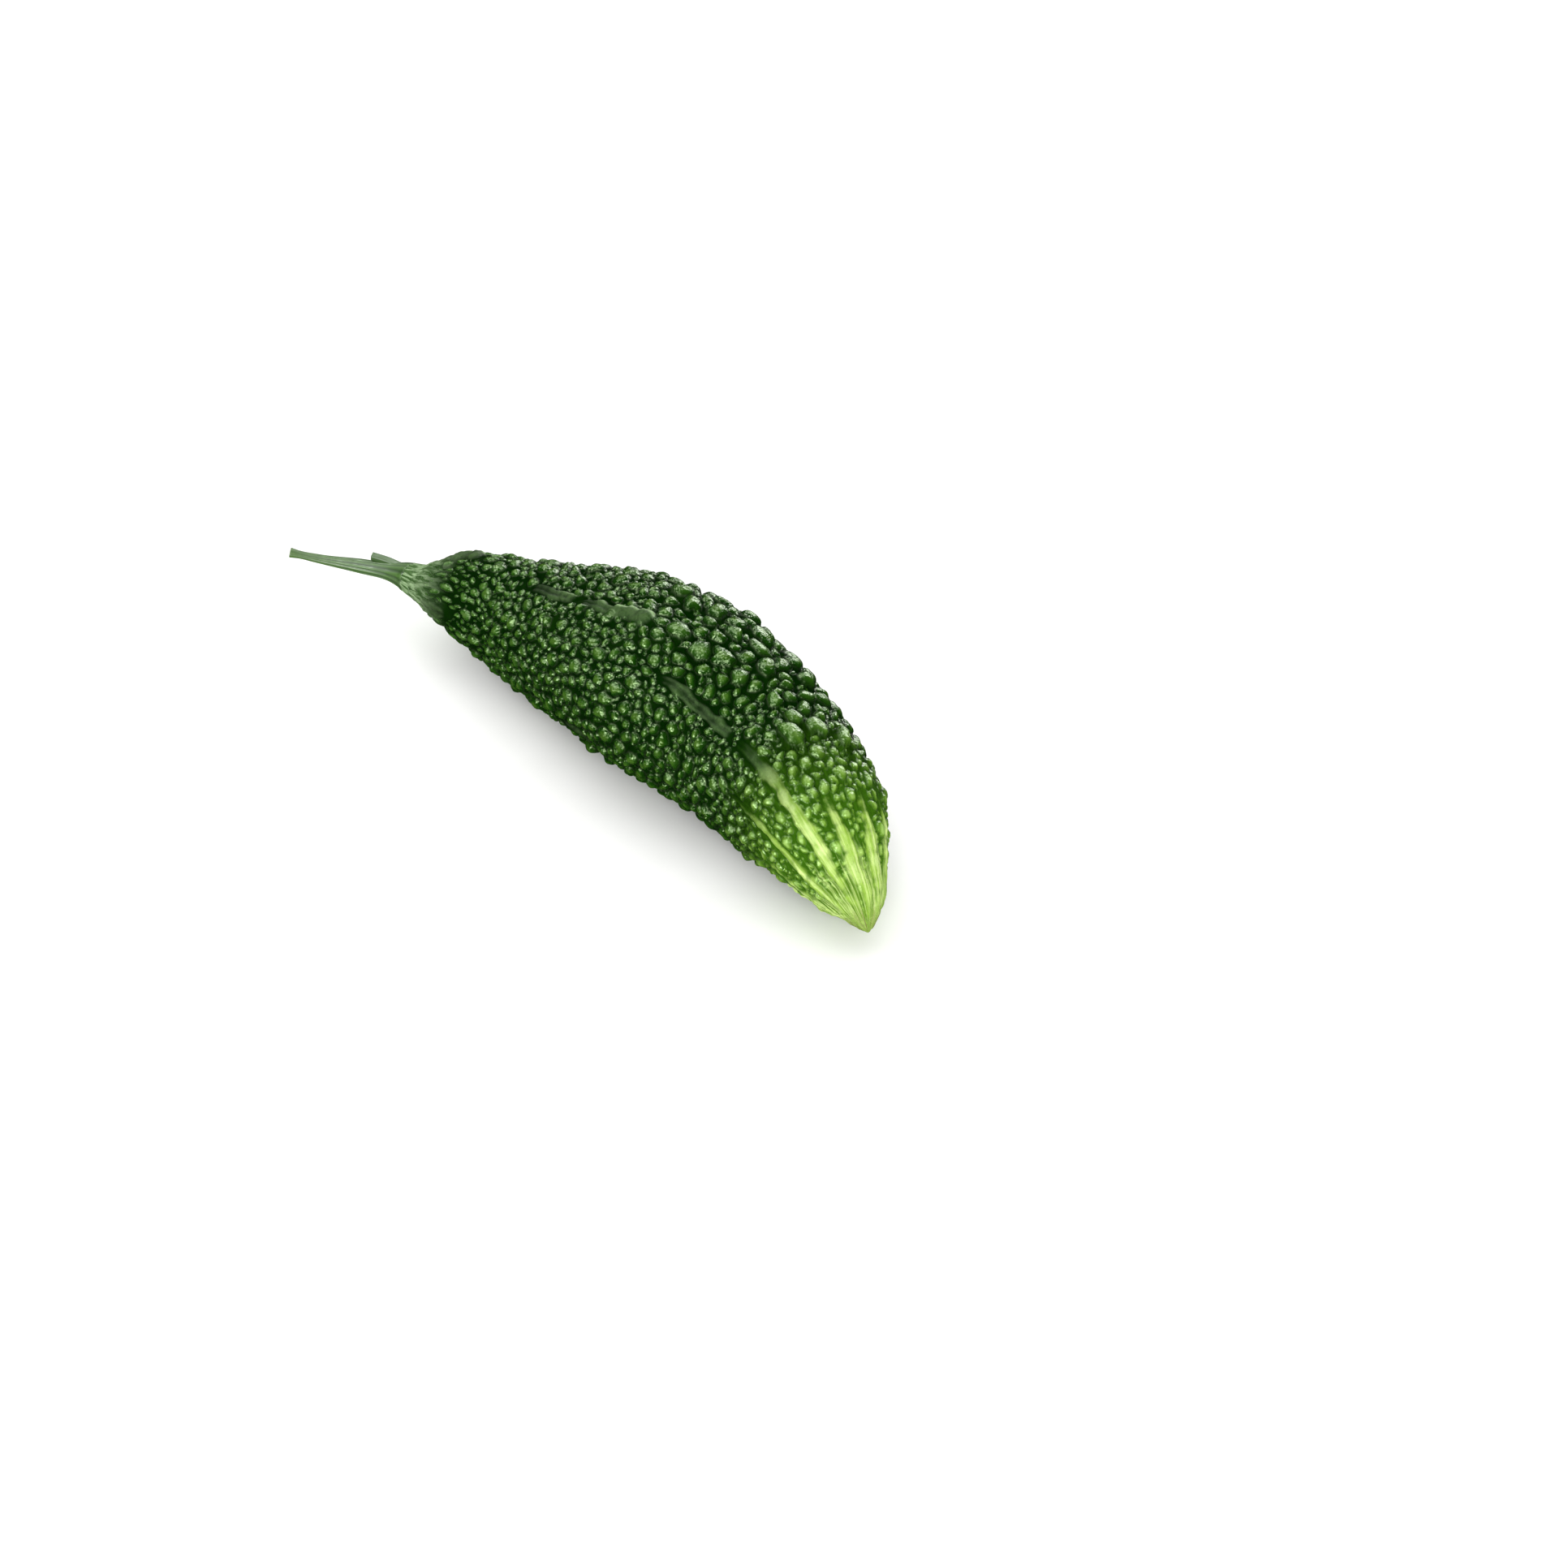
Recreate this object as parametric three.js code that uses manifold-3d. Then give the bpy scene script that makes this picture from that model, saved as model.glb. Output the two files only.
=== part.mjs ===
// A picked bitter gourd lying on a flat surface: the warty fruit, and the cut stem that it hung from.
// Millimetres, +Z up. +X runs from the stem's cut end to the blossom tip, and the fruit bows towards +Y.
// The origin is the middle of the part's footprint, on the surface that it lies on.
import * as THREE from "three";
import { ConvexHull } from "three/addons/math/ConvexHull.js";
import Module from "manifold-3d";

// Fruit: a bent spindle. Places along it are shares of its length, 0 at the neck and 1 at the blossom tip.
const FRUIT_LENGTH = 221;
const BOW = [
  [0, 0],
  [0.08, 3.7],
  [0.2, 9.7],
  [0.35, 14.5],
  [0.5, 17.2],
  [0.65, 18.8],
  [0.8, 13.5],
  [0.92, 5],
  [1, 0],
]; // place, how far the axis stands off the chord
const LIFT = [
  [0, 13],
  [0.1, 8.2],
  [0.2, 4.6],
  [0.35, 1.3],
  [0.5, 0],
  [0.62, 0],
  [0.75, 1.2],
  [0.88, 4.2],
  [1, 8],
]; // place, how far the underside curls up off the surface
const GIRTH = [
  [0, 4.8],
  [0.025, 6.3],
  [0.05, 8.5],
  [0.08, 11.1],
  [0.12, 13.9],
  [0.2, 17.8],
  [0.32, 23.3],
  [0.45, 27.8],
  [0.58, 28.6],
  [0.7, 25.5],
  [0.8, 23.2],
  [0.88, 19.2],
  [0.94, 12.7],
  [0.98, 6.6],
  [1, 0.5],
]; // place, radius of the skin between the warts
const SWELLS = [
  [2, 0.9, 0.6, 0.5],
  [3, -1.3, 2.1, 0.4],
  [5, 1.7, 4.0, 0.3],
]; // broad uneven waves of the skin: count round, turn along, phase, height
const SWELL_FADE = 0.125; // share of the length over which the waves die out at either end
const TIP_NUB = 0.4;

// Ridges: ten lines from neck to tip. Their crests are whole near the neck, in short stretches between, and
// from some way before the tip on to it.
// Each ridge: its angle at the tip in degrees, 0 on the bowed side and 90 on top; and the stretches after
// the neck where its crest is whole, as from, to and the share of its width at either end.
const CREST_FROM = 0.035;
const CREST_TO = 0.985;
const RIDGES = [
  { tipAngle: 33, crests: [[0.3, 0.38, 0.5, 0.8], [0.86, CREST_TO, 0.5, 0.8]] },
  { tipAngle: 61, crests: [[0.05, 0.135, 0.9, 1], [0.87, CREST_TO, 0.7, 1]] },
  { tipAngle: 93, crests: [[0.27, 0.365, 0.7, 1], [0.365, 0.505, 0.5, 1.6], [0.87, CREST_TO, 0.9, 0.85]] },
  { tipAngle: 122, crests: [[0.56, 0.73, 0.8, 0.8], [0.745, CREST_TO, 0.6, 0.75]] },
  { tipAngle: 157, crests: [[0.06, 0.14, 0.5, 0.5], [0.79, CREST_TO, 0.4, 0.75]] },
  { tipAngle: 190, crests: [[0.38, 0.47, 0.5, 0.9], [0.86, CREST_TO, 0.5, 0.8]] },
  { tipAngle: 228, crests: [[0.15, 0.23, 0.5, 0.6], [0.6, 0.67, 0.8, 0.6], [0.82, CREST_TO, 0.55, 0.95]] },
  { tipAngle: 266, crests: [[0.42, 0.52, 0.4, 1], [0.86, CREST_TO, 0.55, 0.95]] },
  { tipAngle: 306, crests: [[0.26, 0.33, 0.6, 0.6], [0.78, CREST_TO, 0.55, 0.95]] },
  { tipAngle: 350, crests: [[0.5, 0.6, 0.5, 0.8], [0.84, CREST_TO, 0.55, 0.95]] },
];
const RIDGE_TWIST = 20; // degrees that a ridge turns between tip and neck
const RIDGE_WANDER = 5; // degrees that it strays either way
const RIDGE_STEP = 3; // distance between the knobs that a crest is made of
const RIDGE_HALF_WIDTH = 2.8;
const RIDGE_HEIGHT = 1.6;
const RIDGE_ROOM = 0.84; // most of the room between two ridge lines that a crest takes up
const KNOB_STRETCH = 1.5;
const KNOB_ROOM = 0.55; // share of a crest's width that beads keep clear of
const NECK_CREST = [CREST_FROM, 0.06, 1, 0.8]; // every ridge's own stretch near the neck

// Warts: scattered beads, in passes from the largest to those that fill the gaps.
const WART_SPACING = [
  [0, 2],
  [0.06, 2.6],
  [0.15, 3.3],
  [0.3, 4],
  [0.5, 4.5],
  [0.7, 4.7],
  [0.82, 4.1],
  [0.9, 3.1],
  [1, 1.8],
]; // place, usual distance between two beads
const SHOULDER = { place: 0.62, spread: 0.13, angle: 65, reach: 40, gain: 0.3 }; // where beads are biggest
const LOBES = [
  [0.486, 69, 6.5, 6],
  [0.545, 100, 7, 5.5],
  [0.59, 103, 8, 5],
  [0.629, 72, 6, 5.5],
  [0.657, 100, 6, 5.6],
  [0.729, 91, 7.5, 4.4],
  [0.787, 76, 5.5, 5],
  [0.791, 97, 11.5, 5.2],
  [0.803, 57, 10, 4.2],
]; // the biggest beads, on the shoulder: place, angle in degrees, length, width
const PASSES = [
  { scale: 1.25, tries: 1500 },
  { scale: 1, tries: 9000 },
  { scale: 0.78, tries: 14000 },
];
const WART_HALF_WIDTH = 0.6; // of a bead's spacing
const WART_HEIGHT = 0.45;
const WART_UNEVEN = 0.4; // share by which heights differ
const NECK_CALM = [0.03, 0.2, 0.55]; // from and to where beads grow to full height, and what is lost before
const TIP_CALM = [0.8, 1, 0.45]; // from and to where the relief dies down, and the share lost at the tip
const FIRST_WART = 0.035; // no beads on the smooth neck
const LONG_WARTS_END = 0.16; // beads near the neck are drawn out along the fruit
const LONG_WART = 1.5;
const ROUND_WART = 1.05;
const DOME = 0.8; // exponent of a bead's profile: 1 is a parabola, 0.5 a half ball
const BLEND = 3; // how sharply neighbouring beads meet, per millimetre
const SEED = 20;

// Neck and stem: the ribs of the stem run on into the ridges of the fruit.
const RIB_HEIGHT = 0.45;
const RIB_HALF_WIDTH = 1;
const RIB_FADE = 0.07;
const RIB_LOSS = 0.7; // share of their height that the ribs lose towards the cut end
const JOINT_GAP = 0.3;
const NECK_RUN = 2; // how far the stem runs straight on from the fruit before it bends
const STEM_PATH = [
  [-118.3, -2.7, 17.4],
  [-128.5, -8.4, 17.2],
  [-137.2, -15.3, 18.2],
  [-145.6, -22.9, 20.4],
]; // from the neck outwards to the cut end
const STEM_RADII = [
  [0, 4.8],
  [0.17, 2.95],
  [0.45, 2.2],
  [0.8, 1.35],
  [0.93, 1.25],
  [1, 1.6],
]; // share of the path, radius between the ribs
const STEM_RINGS = 16;
const CUP_DEPTH = 1.2; // the cut end is hollowed like a cup
const CUP_RIM = 0.6; // share of the radius where the hollow starts
const STUB_PATH = [
  [-113.8, 0.6, 18.9],
  [-119.7, -1.4, 20.2],
  [-125.1, -4.3, 21],
]; // a cut side shoot
const STUB_RADIUS = 1.35;
const STUB_SIDES = 8;
const STUB_RINGS = 5;

// Resting: the lowest beads are pressed flat by the fruit's own weight.
const PRESSED = 0.9;

// Faceting
const TABLE_STEPS = 1200;
const BEAD_RING = 6; // points round a large bead
const BEAD_RING_AT = 0.55; // of its half width
const RINGED_BEAD = 5.5; // beads of this spacing and up get a ring
const SADDLE_DIP = 0.79; // a valley between two beads counts where it is this share of their height or less
const CLOSEST_POINTS = 0.9;

const wasm = await Module();
wasm.setup();

// A smooth curve through knots of [place, value].
function through(knots, place) {
  const last = knots.length - 1;
  const grade = (i) => (knots[i + 1][1] - knots[i][1]) / (knots[i + 1][0] - knots[i][0]);
  const slope = (i) => {
    if (i === 0) return grade(0);
    if (i === last) return grade(last - 1);
    const before = knots[i][0] - knots[i - 1][0];
    const after = knots[i + 1][0] - knots[i][0];
    return (grade(i - 1) * after + grade(i) * before) / (before + after);
  };
  let i = 0;
  while (i < last - 1 && place >= knots[i + 1][0]) i++;
  const width = knots[i + 1][0] - knots[i][0];
  const f = (place - knots[i][0]) / width;
  return (
    (2 * f ** 3 - 3 * f ** 2 + 1) * knots[i][1] +
    (f ** 3 - 2 * f ** 2 + f) * width * slope(i) +
    (3 * f ** 2 - 2 * f ** 3) * knots[i + 1][1] +
    (f ** 3 - f ** 2) * width * slope(i + 1)
  );
}

function axisPoint(place) {
  const height = through(GIRTH, place) + through(LIFT, place);
  return new THREE.Vector3(FRUIT_LENGTH * (place - 0.5), through(BOW, place), height);
}

// The axis at one place: its point, its direction, the two directions across it, the radius and its slope.
function station(place) {
  const step = 1e-3;
  const before = Math.max(0, place - step);
  const after = Math.min(1, place + step);
  const along = axisPoint(after).sub(axisPoint(before));
  const run = along.length();
  along.normalize();
  const side = new THREE.Vector3(0, 0, 1).cross(along).normalize();
  const up = along.clone().cross(side);
  const slope = (through(GIRTH, after) - through(GIRTH, before)) / run;
  return { point: axisPoint(place), along, side, up, radius: through(GIRTH, place), slope };
}

function skinPoint(place, angle, height) {
  const at = station(place);
  const out = at.side.clone().multiplyScalar(Math.cos(angle)).addScaledVector(at.up, Math.sin(angle));
  const normal = out.clone().addScaledVector(at.along, -at.slope).normalize();
  return at.point.addScaledVector(out, at.radius).addScaledVector(normal, height);
}

// The skin unrolled so that small shapes keep their form: the reach is the sum of length over radius, and a
// distance on the skin is the distance in (reach, angle) times the radius there.
const reachTable = [0];
for (let i = 1; i <= TABLE_STEPS; i++) {
  const before = (i - 1) / TABLE_STEPS;
  const after = i / TABLE_STEPS;
  const radiusBefore = through(GIRTH, before);
  const radiusAfter = through(GIRTH, after);
  const run = Math.hypot(axisPoint(after).distanceTo(axisPoint(before)), radiusAfter - radiusBefore);
  reachTable.push(reachTable[i - 1] + (2 * run) / (radiusBefore + radiusAfter));
}
const FULL_REACH = reachTable[TABLE_STEPS];

function reachOf(place) {
  const i = Math.min(TABLE_STEPS - 1, Math.floor(place * TABLE_STEPS));
  return reachTable[i] + (reachTable[i + 1] - reachTable[i]) * (place * TABLE_STEPS - i);
}

function placeOf(reach) {
  let low = 0;
  let high = TABLE_STEPS;
  while (high - low > 1) {
    const middle = (low + high) >> 1;
    if (reachTable[middle] <= reach) low = middle;
    else high = middle;
  }
  return (low + (reach - reachTable[low]) / (reachTable[high] - reachTable[low])) / TABLE_STEPS;
}

function turnBetween(a, b) {
  return Math.atan2(Math.sin(a - b), Math.cos(a - b));
}

// Repeatable random numbers from 0 to 1.
function randomFrom(seed) {
  let state = seed;
  return () => {
    state = (state + 0x6d2b79f5) | 0;
    let mixed = Math.imul(state ^ (state >>> 15), 1 | state);
    mixed = (mixed + Math.imul(mixed ^ (mixed >>> 7), 61 | mixed)) ^ mixed;
    return ((mixed ^ (mixed >>> 14)) >>> 0) / 4294967296;
  };
}

function ridgeAngle(index, place) {
  const stray = RIDGE_WANDER * Math.sin(9 * place + 2.4 * index) * (1 - place);
  return THREE.MathUtils.degToRad(RIDGES[index].tipAngle + RIDGE_TWIST * (1 - place) + stray);
}

// The share of a crest's width there, or nothing where the ridge has no whole crest.
function crestShare(ridge, place) {
  const here = [NECK_CREST, ...ridge.crests].find(([from, to]) => place > from && place < to);
  if (!here) return 0;
  const [from, to, first, last] = here;
  return first + ((last - first) * (place - from)) / (to - from);
}

// The knobs that make the crests of the ridges. Towards the tip they narrow with the fruit.
function ridgeKnobs() {
  const knobs = [];
  RIDGES.forEach((ridge, index) => {
    let place = CREST_FROM;
    while (place < CREST_TO) {
      const radius = through(GIRTH, place);
      const room = (RIDGE_ROOM * Math.PI * radius) / RIDGES.length;
      const widest = Math.min(RIDGE_HALF_WIDTH, room);
      const halfWidth = widest * crestShare(ridge, place);
      if (halfWidth > 0) {
        knobs.push({
          reach: reachOf(place),
          angle: ridgeAngle(index, place),
          radius,
          spacing: 2 * KNOB_ROOM * widest,
          halfWidth,
          height: RIDGE_HEIGHT * Math.min(1, halfWidth / RIDGE_HALF_WIDTH),
          stretch: KNOB_STRETCH,
        });
      }
      place += (RIDGE_STEP * Math.max(0.5, widest / RIDGE_HALF_WIDTH)) / FRUIT_LENGTH;
    }
  });
  return knobs;
}

function bigLobes() {
  return LOBES.map(([place, degrees, length, width]) => {
    const spacing = Math.sqrt(length * width);
    return {
      reach: reachOf(place),
      angle: THREE.MathUtils.degToRad(degrees),
      radius: through(GIRTH, place),
      spacing,
      halfWidth: WART_HALF_WIDTH * width,
      height: WART_HEIGHT * spacing,
      stretch: length / width,
    };
  });
}

function beadSpacing(place, angle) {
  const along = (place - SHOULDER.place) / SHOULDER.spread;
  const turned = THREE.MathUtils.radToDeg(turnBetween(angle, THREE.MathUtils.degToRad(SHOULDER.angle)));
  const round = turned / SHOULDER.reach;
  return through(WART_SPACING, place) * (1 + SHOULDER.gain * Math.exp(-along * along - round * round));
}

function scatterWarts() {
  const random = randomFrom(SEED);
  const warts = [...bigLobes(), ...ridgeKnobs()];
  const widest = Math.max(...GIRTH.map(([, radius]) => radius));
  const firstReach = reachOf(FIRST_WART);
  for (const { scale, tries } of PASSES) {
    for (let i = 0; i < tries; i++) {
      const reach = firstReach + random() * (FULL_REACH - firstReach);
      const angle = random() * 2 * Math.PI;
      const kept = random();
      const uneven = random();
      const place = placeOf(reach);
      const radius = through(GIRTH, place);
      if (kept > (radius / widest) ** 2) continue;
      const spacing = scale * beadSpacing(place, angle);
      const clear = warts.every((other) => {
        const unrolled = Math.hypot(reach - other.reach, turnBetween(angle, other.angle));
        return unrolled * (radius + other.radius) >= spacing + other.spacing;
      });
      if (!clear) continue;
      warts.push({
        reach,
        angle,
        radius,
        spacing,
        halfWidth: WART_HALF_WIDTH * spacing,
        height: WART_HEIGHT * spacing * (1 + WART_UNEVEN * (uneven - 0.5)),
        stretch: place < LONG_WARTS_END ? LONG_WART : ROUND_WART,
      });
    }
  }
  return warts;
}

const warts = scatterWarts();

// How much of the relief is left near the neck and near the tip.
function calm(place) {
  const [neckFrom, neckTo, neckLoss] = NECK_CALM;
  const [tipFrom, tipTo, tipLoss] = TIP_CALM;
  const neck = 1 - neckLoss * (1 - THREE.MathUtils.smoothstep(place, neckFrom, neckTo));
  return neck * (1 - tipLoss * THREE.MathUtils.smoothstep(place, tipFrom, tipTo));
}

// The height of beads and crests over the skin: the highest of them at each point, rounded where two meet.
function relief(reach, angle) {
  let sum = 1;
  for (const wart of warts) {
    const along = (reach - wart.reach) / wart.stretch;
    const round = turnBetween(angle, wart.angle);
    const share = ((along * along + round * round) * wart.radius ** 2) / wart.halfWidth ** 2;
    if (share < 1) sum += Math.exp(BLEND * wart.height * (1 - share) ** DOME) - 1;
  }
  return Math.log(sum) / BLEND;
}

function ribs(angle) {
  let highest = 0;
  RIDGES.forEach((ridge, index) => {
    const apart = (turnBetween(angle, ridgeAngle(index, 0)) * GIRTH[0][1]) / RIB_HALF_WIDTH;
    highest = Math.max(highest, Math.exp(-apart * apart));
  });
  return RIB_HEIGHT * highest;
}

function skinHeight(reach, angle) {
  const place = placeOf(reach);
  const broad = SWELLS.reduce(
    (sum, [count, turn, phase, height]) => sum + height * Math.sin(count * angle + turn * reach + phase),
    0,
  );
  const inside = Math.min(1, place / SWELL_FADE, (1 - place) / SWELL_FADE);
  const neckRibs = ribs(angle) * Math.max(0, 1 - place / RIB_FADE);
  return relief(reach, angle) * calm(place) + broad * inside + neckRibs;
}

function reliefPoint(reach, angle) {
  return skinPoint(placeOf(reach), angle, skinHeight(reach, angle));
}

// The same unrolled skin wrapped on a unit ball, where the hull of points is their most even triangulation.
function onBall(reach, angle) {
  const height = Math.tanh(reach - FULL_REACH / 2);
  const girth = 1 / Math.cosh(reach - FULL_REACH / 2);
  return new THREE.Vector3(girth * Math.cos(angle), girth * Math.sin(angle), height);
}

function fromBall(direction) {
  const across = Math.hypot(direction.x, direction.y);
  const reach = FULL_REACH / 2 + Math.asinh(direction.z / across);
  return { reach, angle: Math.atan2(direction.y, direction.x) };
}

function hullTriangles(points) {
  const hull = new ConvexHull().setFromPoints(points);
  const indexOf = new Map(points.map((point, index) => [point, index]));
  return hull.faces.map((face) => {
    const corners = [face.edge, face.edge.next, face.edge.next.next];
    return corners.map((edge) => indexOf.get(edge.head().point));
  });
}

function neckRing() {
  const ring = [];
  for (let index = 0; index < RIDGES.length; index++) {
    const crest = ridgeAngle(index, 0);
    const next = ridgeAngle((index + 1) % RIDGES.length, 0);
    ring.push(crest, crest + 0.5 * turnBetween(next, crest));
  }
  return ring;
}

// Points of the skin: the neck's ring, the tops of the beads, the valleys between two beads and where three
// meet, and rings on the large beads.
function skinSamples() {
  const samples = neckRing().map((angle) => ({ reach: 0, angle }));
  const flats = samples.map(({ reach, angle }) => skinPoint(placeOf(reach), angle, 0));
  const keep = (reach, angle) => {
    if (reach < 0 || reach > FULL_REACH) return;
    const flat = skinPoint(placeOf(reach), angle, 0);
    if (flats.some((other) => other.distanceTo(flat) < CLOSEST_POINTS)) return;
    flats.push(flat);
    samples.push({ reach, angle });
  };
  warts.forEach(({ reach, angle }) => keep(reach, angle));
  const tops = warts.map(({ reach, angle }) => onBall(reach, angle));
  for (const [a, b, c] of hullTriangles(tops)) {
    const out = tops[b].clone().sub(tops[a]).cross(tops[c].clone().sub(tops[a]));
    const valley = fromBall(out);
    keep(valley.reach, valley.angle);
    for (const [from, to] of [[a, b], [b, c], [c, a]]) {
      const saddle = fromBall(tops[from].clone().add(tops[to]));
      const dip = relief(saddle.reach, saddle.angle) / Math.min(warts[from].height, warts[to].height);
      if (from < to && dip < SADDLE_DIP) keep(saddle.reach, saddle.angle);
    }
  }
  for (const wart of warts.filter(({ spacing }) => spacing >= RINGED_BEAD)) {
    const size = (BEAD_RING_AT * wart.halfWidth) / wart.radius;
    for (let i = 0; i < BEAD_RING; i++) {
      const turn = (2 * Math.PI * i) / BEAD_RING + wart.angle;
      keep(wart.reach + size * wart.stretch * Math.cos(turn), wart.angle + size * Math.sin(turn));
    }
  }
  return samples;
}

function meshData(points, triangles) {
  return new wasm.Mesh({
    numProp: 3,
    vertProperties: new Float32Array(points.flatMap((point) => point.toArray())),
    triVerts: new Uint32Array(triangles.flat()),
  });
}

function fruitSolid() {
  const samples = skinSamples();
  const points = samples.map(({ reach, angle }) => reliefPoint(reach, angle));
  const ball = samples.map(({ reach, angle }) => onBall(reach, angle));
  ball.push(new THREE.Vector3(0, 0, 1), new THREE.Vector3(0, 0, -1));
  const tip = station(1);
  points.push(tip.point.addScaledVector(tip.along, TIP_NUB), station(0).point);
  return new wasm.Manifold(meshData(points, hullTriangles(ball)));
}

// A closed skin through rings of points, with a fan to a middle point at each end.
function loft(rings, start, end) {
  const sides = rings[0].length;
  const points = [...rings.flat(), start, end];
  const startIndex = rings.length * sides;
  const triangles = [];
  for (let i = 0; i < sides; i++) {
    const next = (i + 1) % sides;
    triangles.push([startIndex, next, i]);
    for (let ring = 0; ring < rings.length - 1; ring++) {
      const here = ring * sides;
      triangles.push([here + i, here + next, here + sides + next]);
      triangles.push([here + i, here + sides + next, here + sides + i]);
    }
    const last = (rings.length - 1) * sides;
    triangles.push([startIndex + 1, last + i, last + next]);
  }
  return new wasm.Manifold(meshData(points, triangles));
}

// Carries a pair of directions across a curve along it without twist, from ring to ring.
function carried(side, up, along) {
  const nextSide = side.clone().addScaledVector(along, -side.dot(along)).normalize();
  const nextUp = along.clone().cross(nextSide);
  return nextUp.dot(up) < 0 ? [nextSide, nextUp.negate()] : [nextSide, nextUp];
}

function stemSolid() {
  const neck = station(0);
  const first = neck.point.clone().addScaledVector(neck.along, -JOINT_GAP);
  const bend = first.clone().addScaledVector(neck.along, -NECK_RUN);
  const outwards = STEM_PATH.map((point) => new THREE.Vector3(...point));
  const path = new THREE.CatmullRomCurve3([first, bend, ...outwards]);
  const angles = neckRing().reverse();
  const rings = [];
  let across = [neck.side, neck.up];
  for (let ring = 0; ring <= STEM_RINGS; ring++) {
    const share = ring / STEM_RINGS;
    const along = ring === 0 ? neck.along.clone().negate() : path.getTangentAt(share);
    across = carried(...across, along);
    const centre = path.getPointAt(share);
    rings.push(
      angles.map((angle) => {
        const radius = through(STEM_RADII, share) + ribs(angle) * (1 - RIB_LOSS * share);
        return centre
          .clone()
          .addScaledVector(across[0], radius * Math.cos(angle))
          .addScaledVector(across[1], radius * Math.sin(angle));
      }),
    );
  }
  const end = path.getPointAt(1);
  const rim = rings[STEM_RINGS].map((point) => end.clone().lerp(point, CUP_RIM));
  rings.push(rim);
  const bottom = end.clone().addScaledVector(path.getTangentAt(1), -CUP_DEPTH);
  return loft(rings, first, bottom);
}

function stubSolid() {
  const path = new THREE.CatmullRomCurve3(STUB_PATH.map((point) => new THREE.Vector3(...point)));
  const rings = [];
  for (let ring = 0; ring <= STUB_RINGS; ring++) {
    const share = ring / STUB_RINGS;
    const along = path.getTangentAt(share);
    const side = new THREE.Vector3(0, 0, 1).cross(along).normalize();
    const up = along.clone().cross(side);
    const centre = path.getPointAt(share);
    const points = [];
    for (let i = 0; i < STUB_SIDES; i++) {
      const angle = (2 * Math.PI * i) / STUB_SIDES;
      points.push(
        centre
          .clone()
          .addScaledVector(side, STUB_RADIUS * Math.cos(angle))
          .addScaledVector(up, STUB_RADIUS * Math.sin(angle)),
      );
    }
    rings.push(points);
  }
  return loft(rings, path.getPointAt(0), path.getPointAt(1));
}

function boxBelow(height) {
  const size = 2 * FRUIT_LENGTH;
  const box = new THREE.BoxGeometry(size, size, size).translate(0, 0, height - size / 2);
  const corners = box.getAttribute("position");
  const unique = [];
  const numbers = new Map();
  const indexOf = [];
  for (let i = 0; i < corners.count; i++) {
    const corner = new THREE.Vector3().fromBufferAttribute(corners, i);
    const key = corner.toArray().join();
    if (!numbers.has(key)) {
      numbers.set(key, unique.length);
      unique.push(corner);
    }
    indexOf.push(numbers.get(key));
  }
  const triangles = [];
  for (let i = 0; i < box.index.count; i += 3) {
    triangles.push([0, 1, 2].map((corner) => indexOf[box.index.getX(i + corner)]));
  }
  return new wasm.Manifold(meshData(unique, triangles));
}

function named(name, solid, colour, roughness) {
  const data = solid.getMesh();
  const geometry = new THREE.BufferGeometry();
  geometry.setAttribute("position", new THREE.BufferAttribute(data.vertProperties, 3));
  geometry.setIndex(new THREE.BufferAttribute(data.triVerts, 1));
  geometry.computeVertexNormals();
  const material = new THREE.MeshStandardMaterial({ color: colour, roughness, flatShading: true });
  const mesh = new THREE.Mesh(geometry, material);
  mesh.name = name;
  return mesh;
}

const lowestBead = Math.min(...warts.map(({ reach, angle }) => reliefPoint(reach, angle).z));
const surface = lowestBead + PRESSED;
const lying = new THREE.Group();
lying.add(named("fruit", fruitSolid().subtract(boxBelow(surface)), 0x3f6b24, 0.35));
lying.add(named("stem", stemSolid().add(stubSolid()), 0x6f8f55, 0.6));

const footprint = new THREE.Box3().setFromObject(lying);
const middle = footprint.getCenter(new THREE.Vector3());
lying.position.set(-middle.x, -middle.y, -surface);

const bitterGourd = new THREE.Group();
bitterGourd.add(lying);
export default bitterGourd;
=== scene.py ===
import math

import bpy
import numpy as np
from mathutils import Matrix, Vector


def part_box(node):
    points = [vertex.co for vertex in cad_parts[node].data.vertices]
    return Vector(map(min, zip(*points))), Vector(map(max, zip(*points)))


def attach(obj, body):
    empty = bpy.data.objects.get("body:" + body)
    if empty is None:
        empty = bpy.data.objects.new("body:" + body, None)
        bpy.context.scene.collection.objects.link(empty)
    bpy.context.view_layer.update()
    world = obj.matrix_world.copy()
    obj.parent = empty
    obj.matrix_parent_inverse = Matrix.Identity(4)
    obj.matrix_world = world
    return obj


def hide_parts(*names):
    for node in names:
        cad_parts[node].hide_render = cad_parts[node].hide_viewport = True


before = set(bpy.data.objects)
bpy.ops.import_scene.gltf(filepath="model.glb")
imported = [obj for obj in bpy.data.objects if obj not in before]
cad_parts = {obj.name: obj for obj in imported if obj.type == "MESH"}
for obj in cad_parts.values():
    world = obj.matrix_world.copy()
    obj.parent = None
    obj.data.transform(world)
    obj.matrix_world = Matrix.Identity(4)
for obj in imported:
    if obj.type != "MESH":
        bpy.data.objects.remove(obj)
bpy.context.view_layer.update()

# A picked bitter gourd lying on a pale floor: its warty rind and its cut stem, in millimetres until the
# meshes are made. +X runs from the stem's cut end to the blossom tip, and the fruit bows towards +Y. The
# spindle, the ridge lines, the ribs, the biggest beads and the spacing are those of the solids. The scatter
# of beads is denser and higher than theirs, and the small grains, creases and wrinkles are added.
METRES = 0.001

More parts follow.
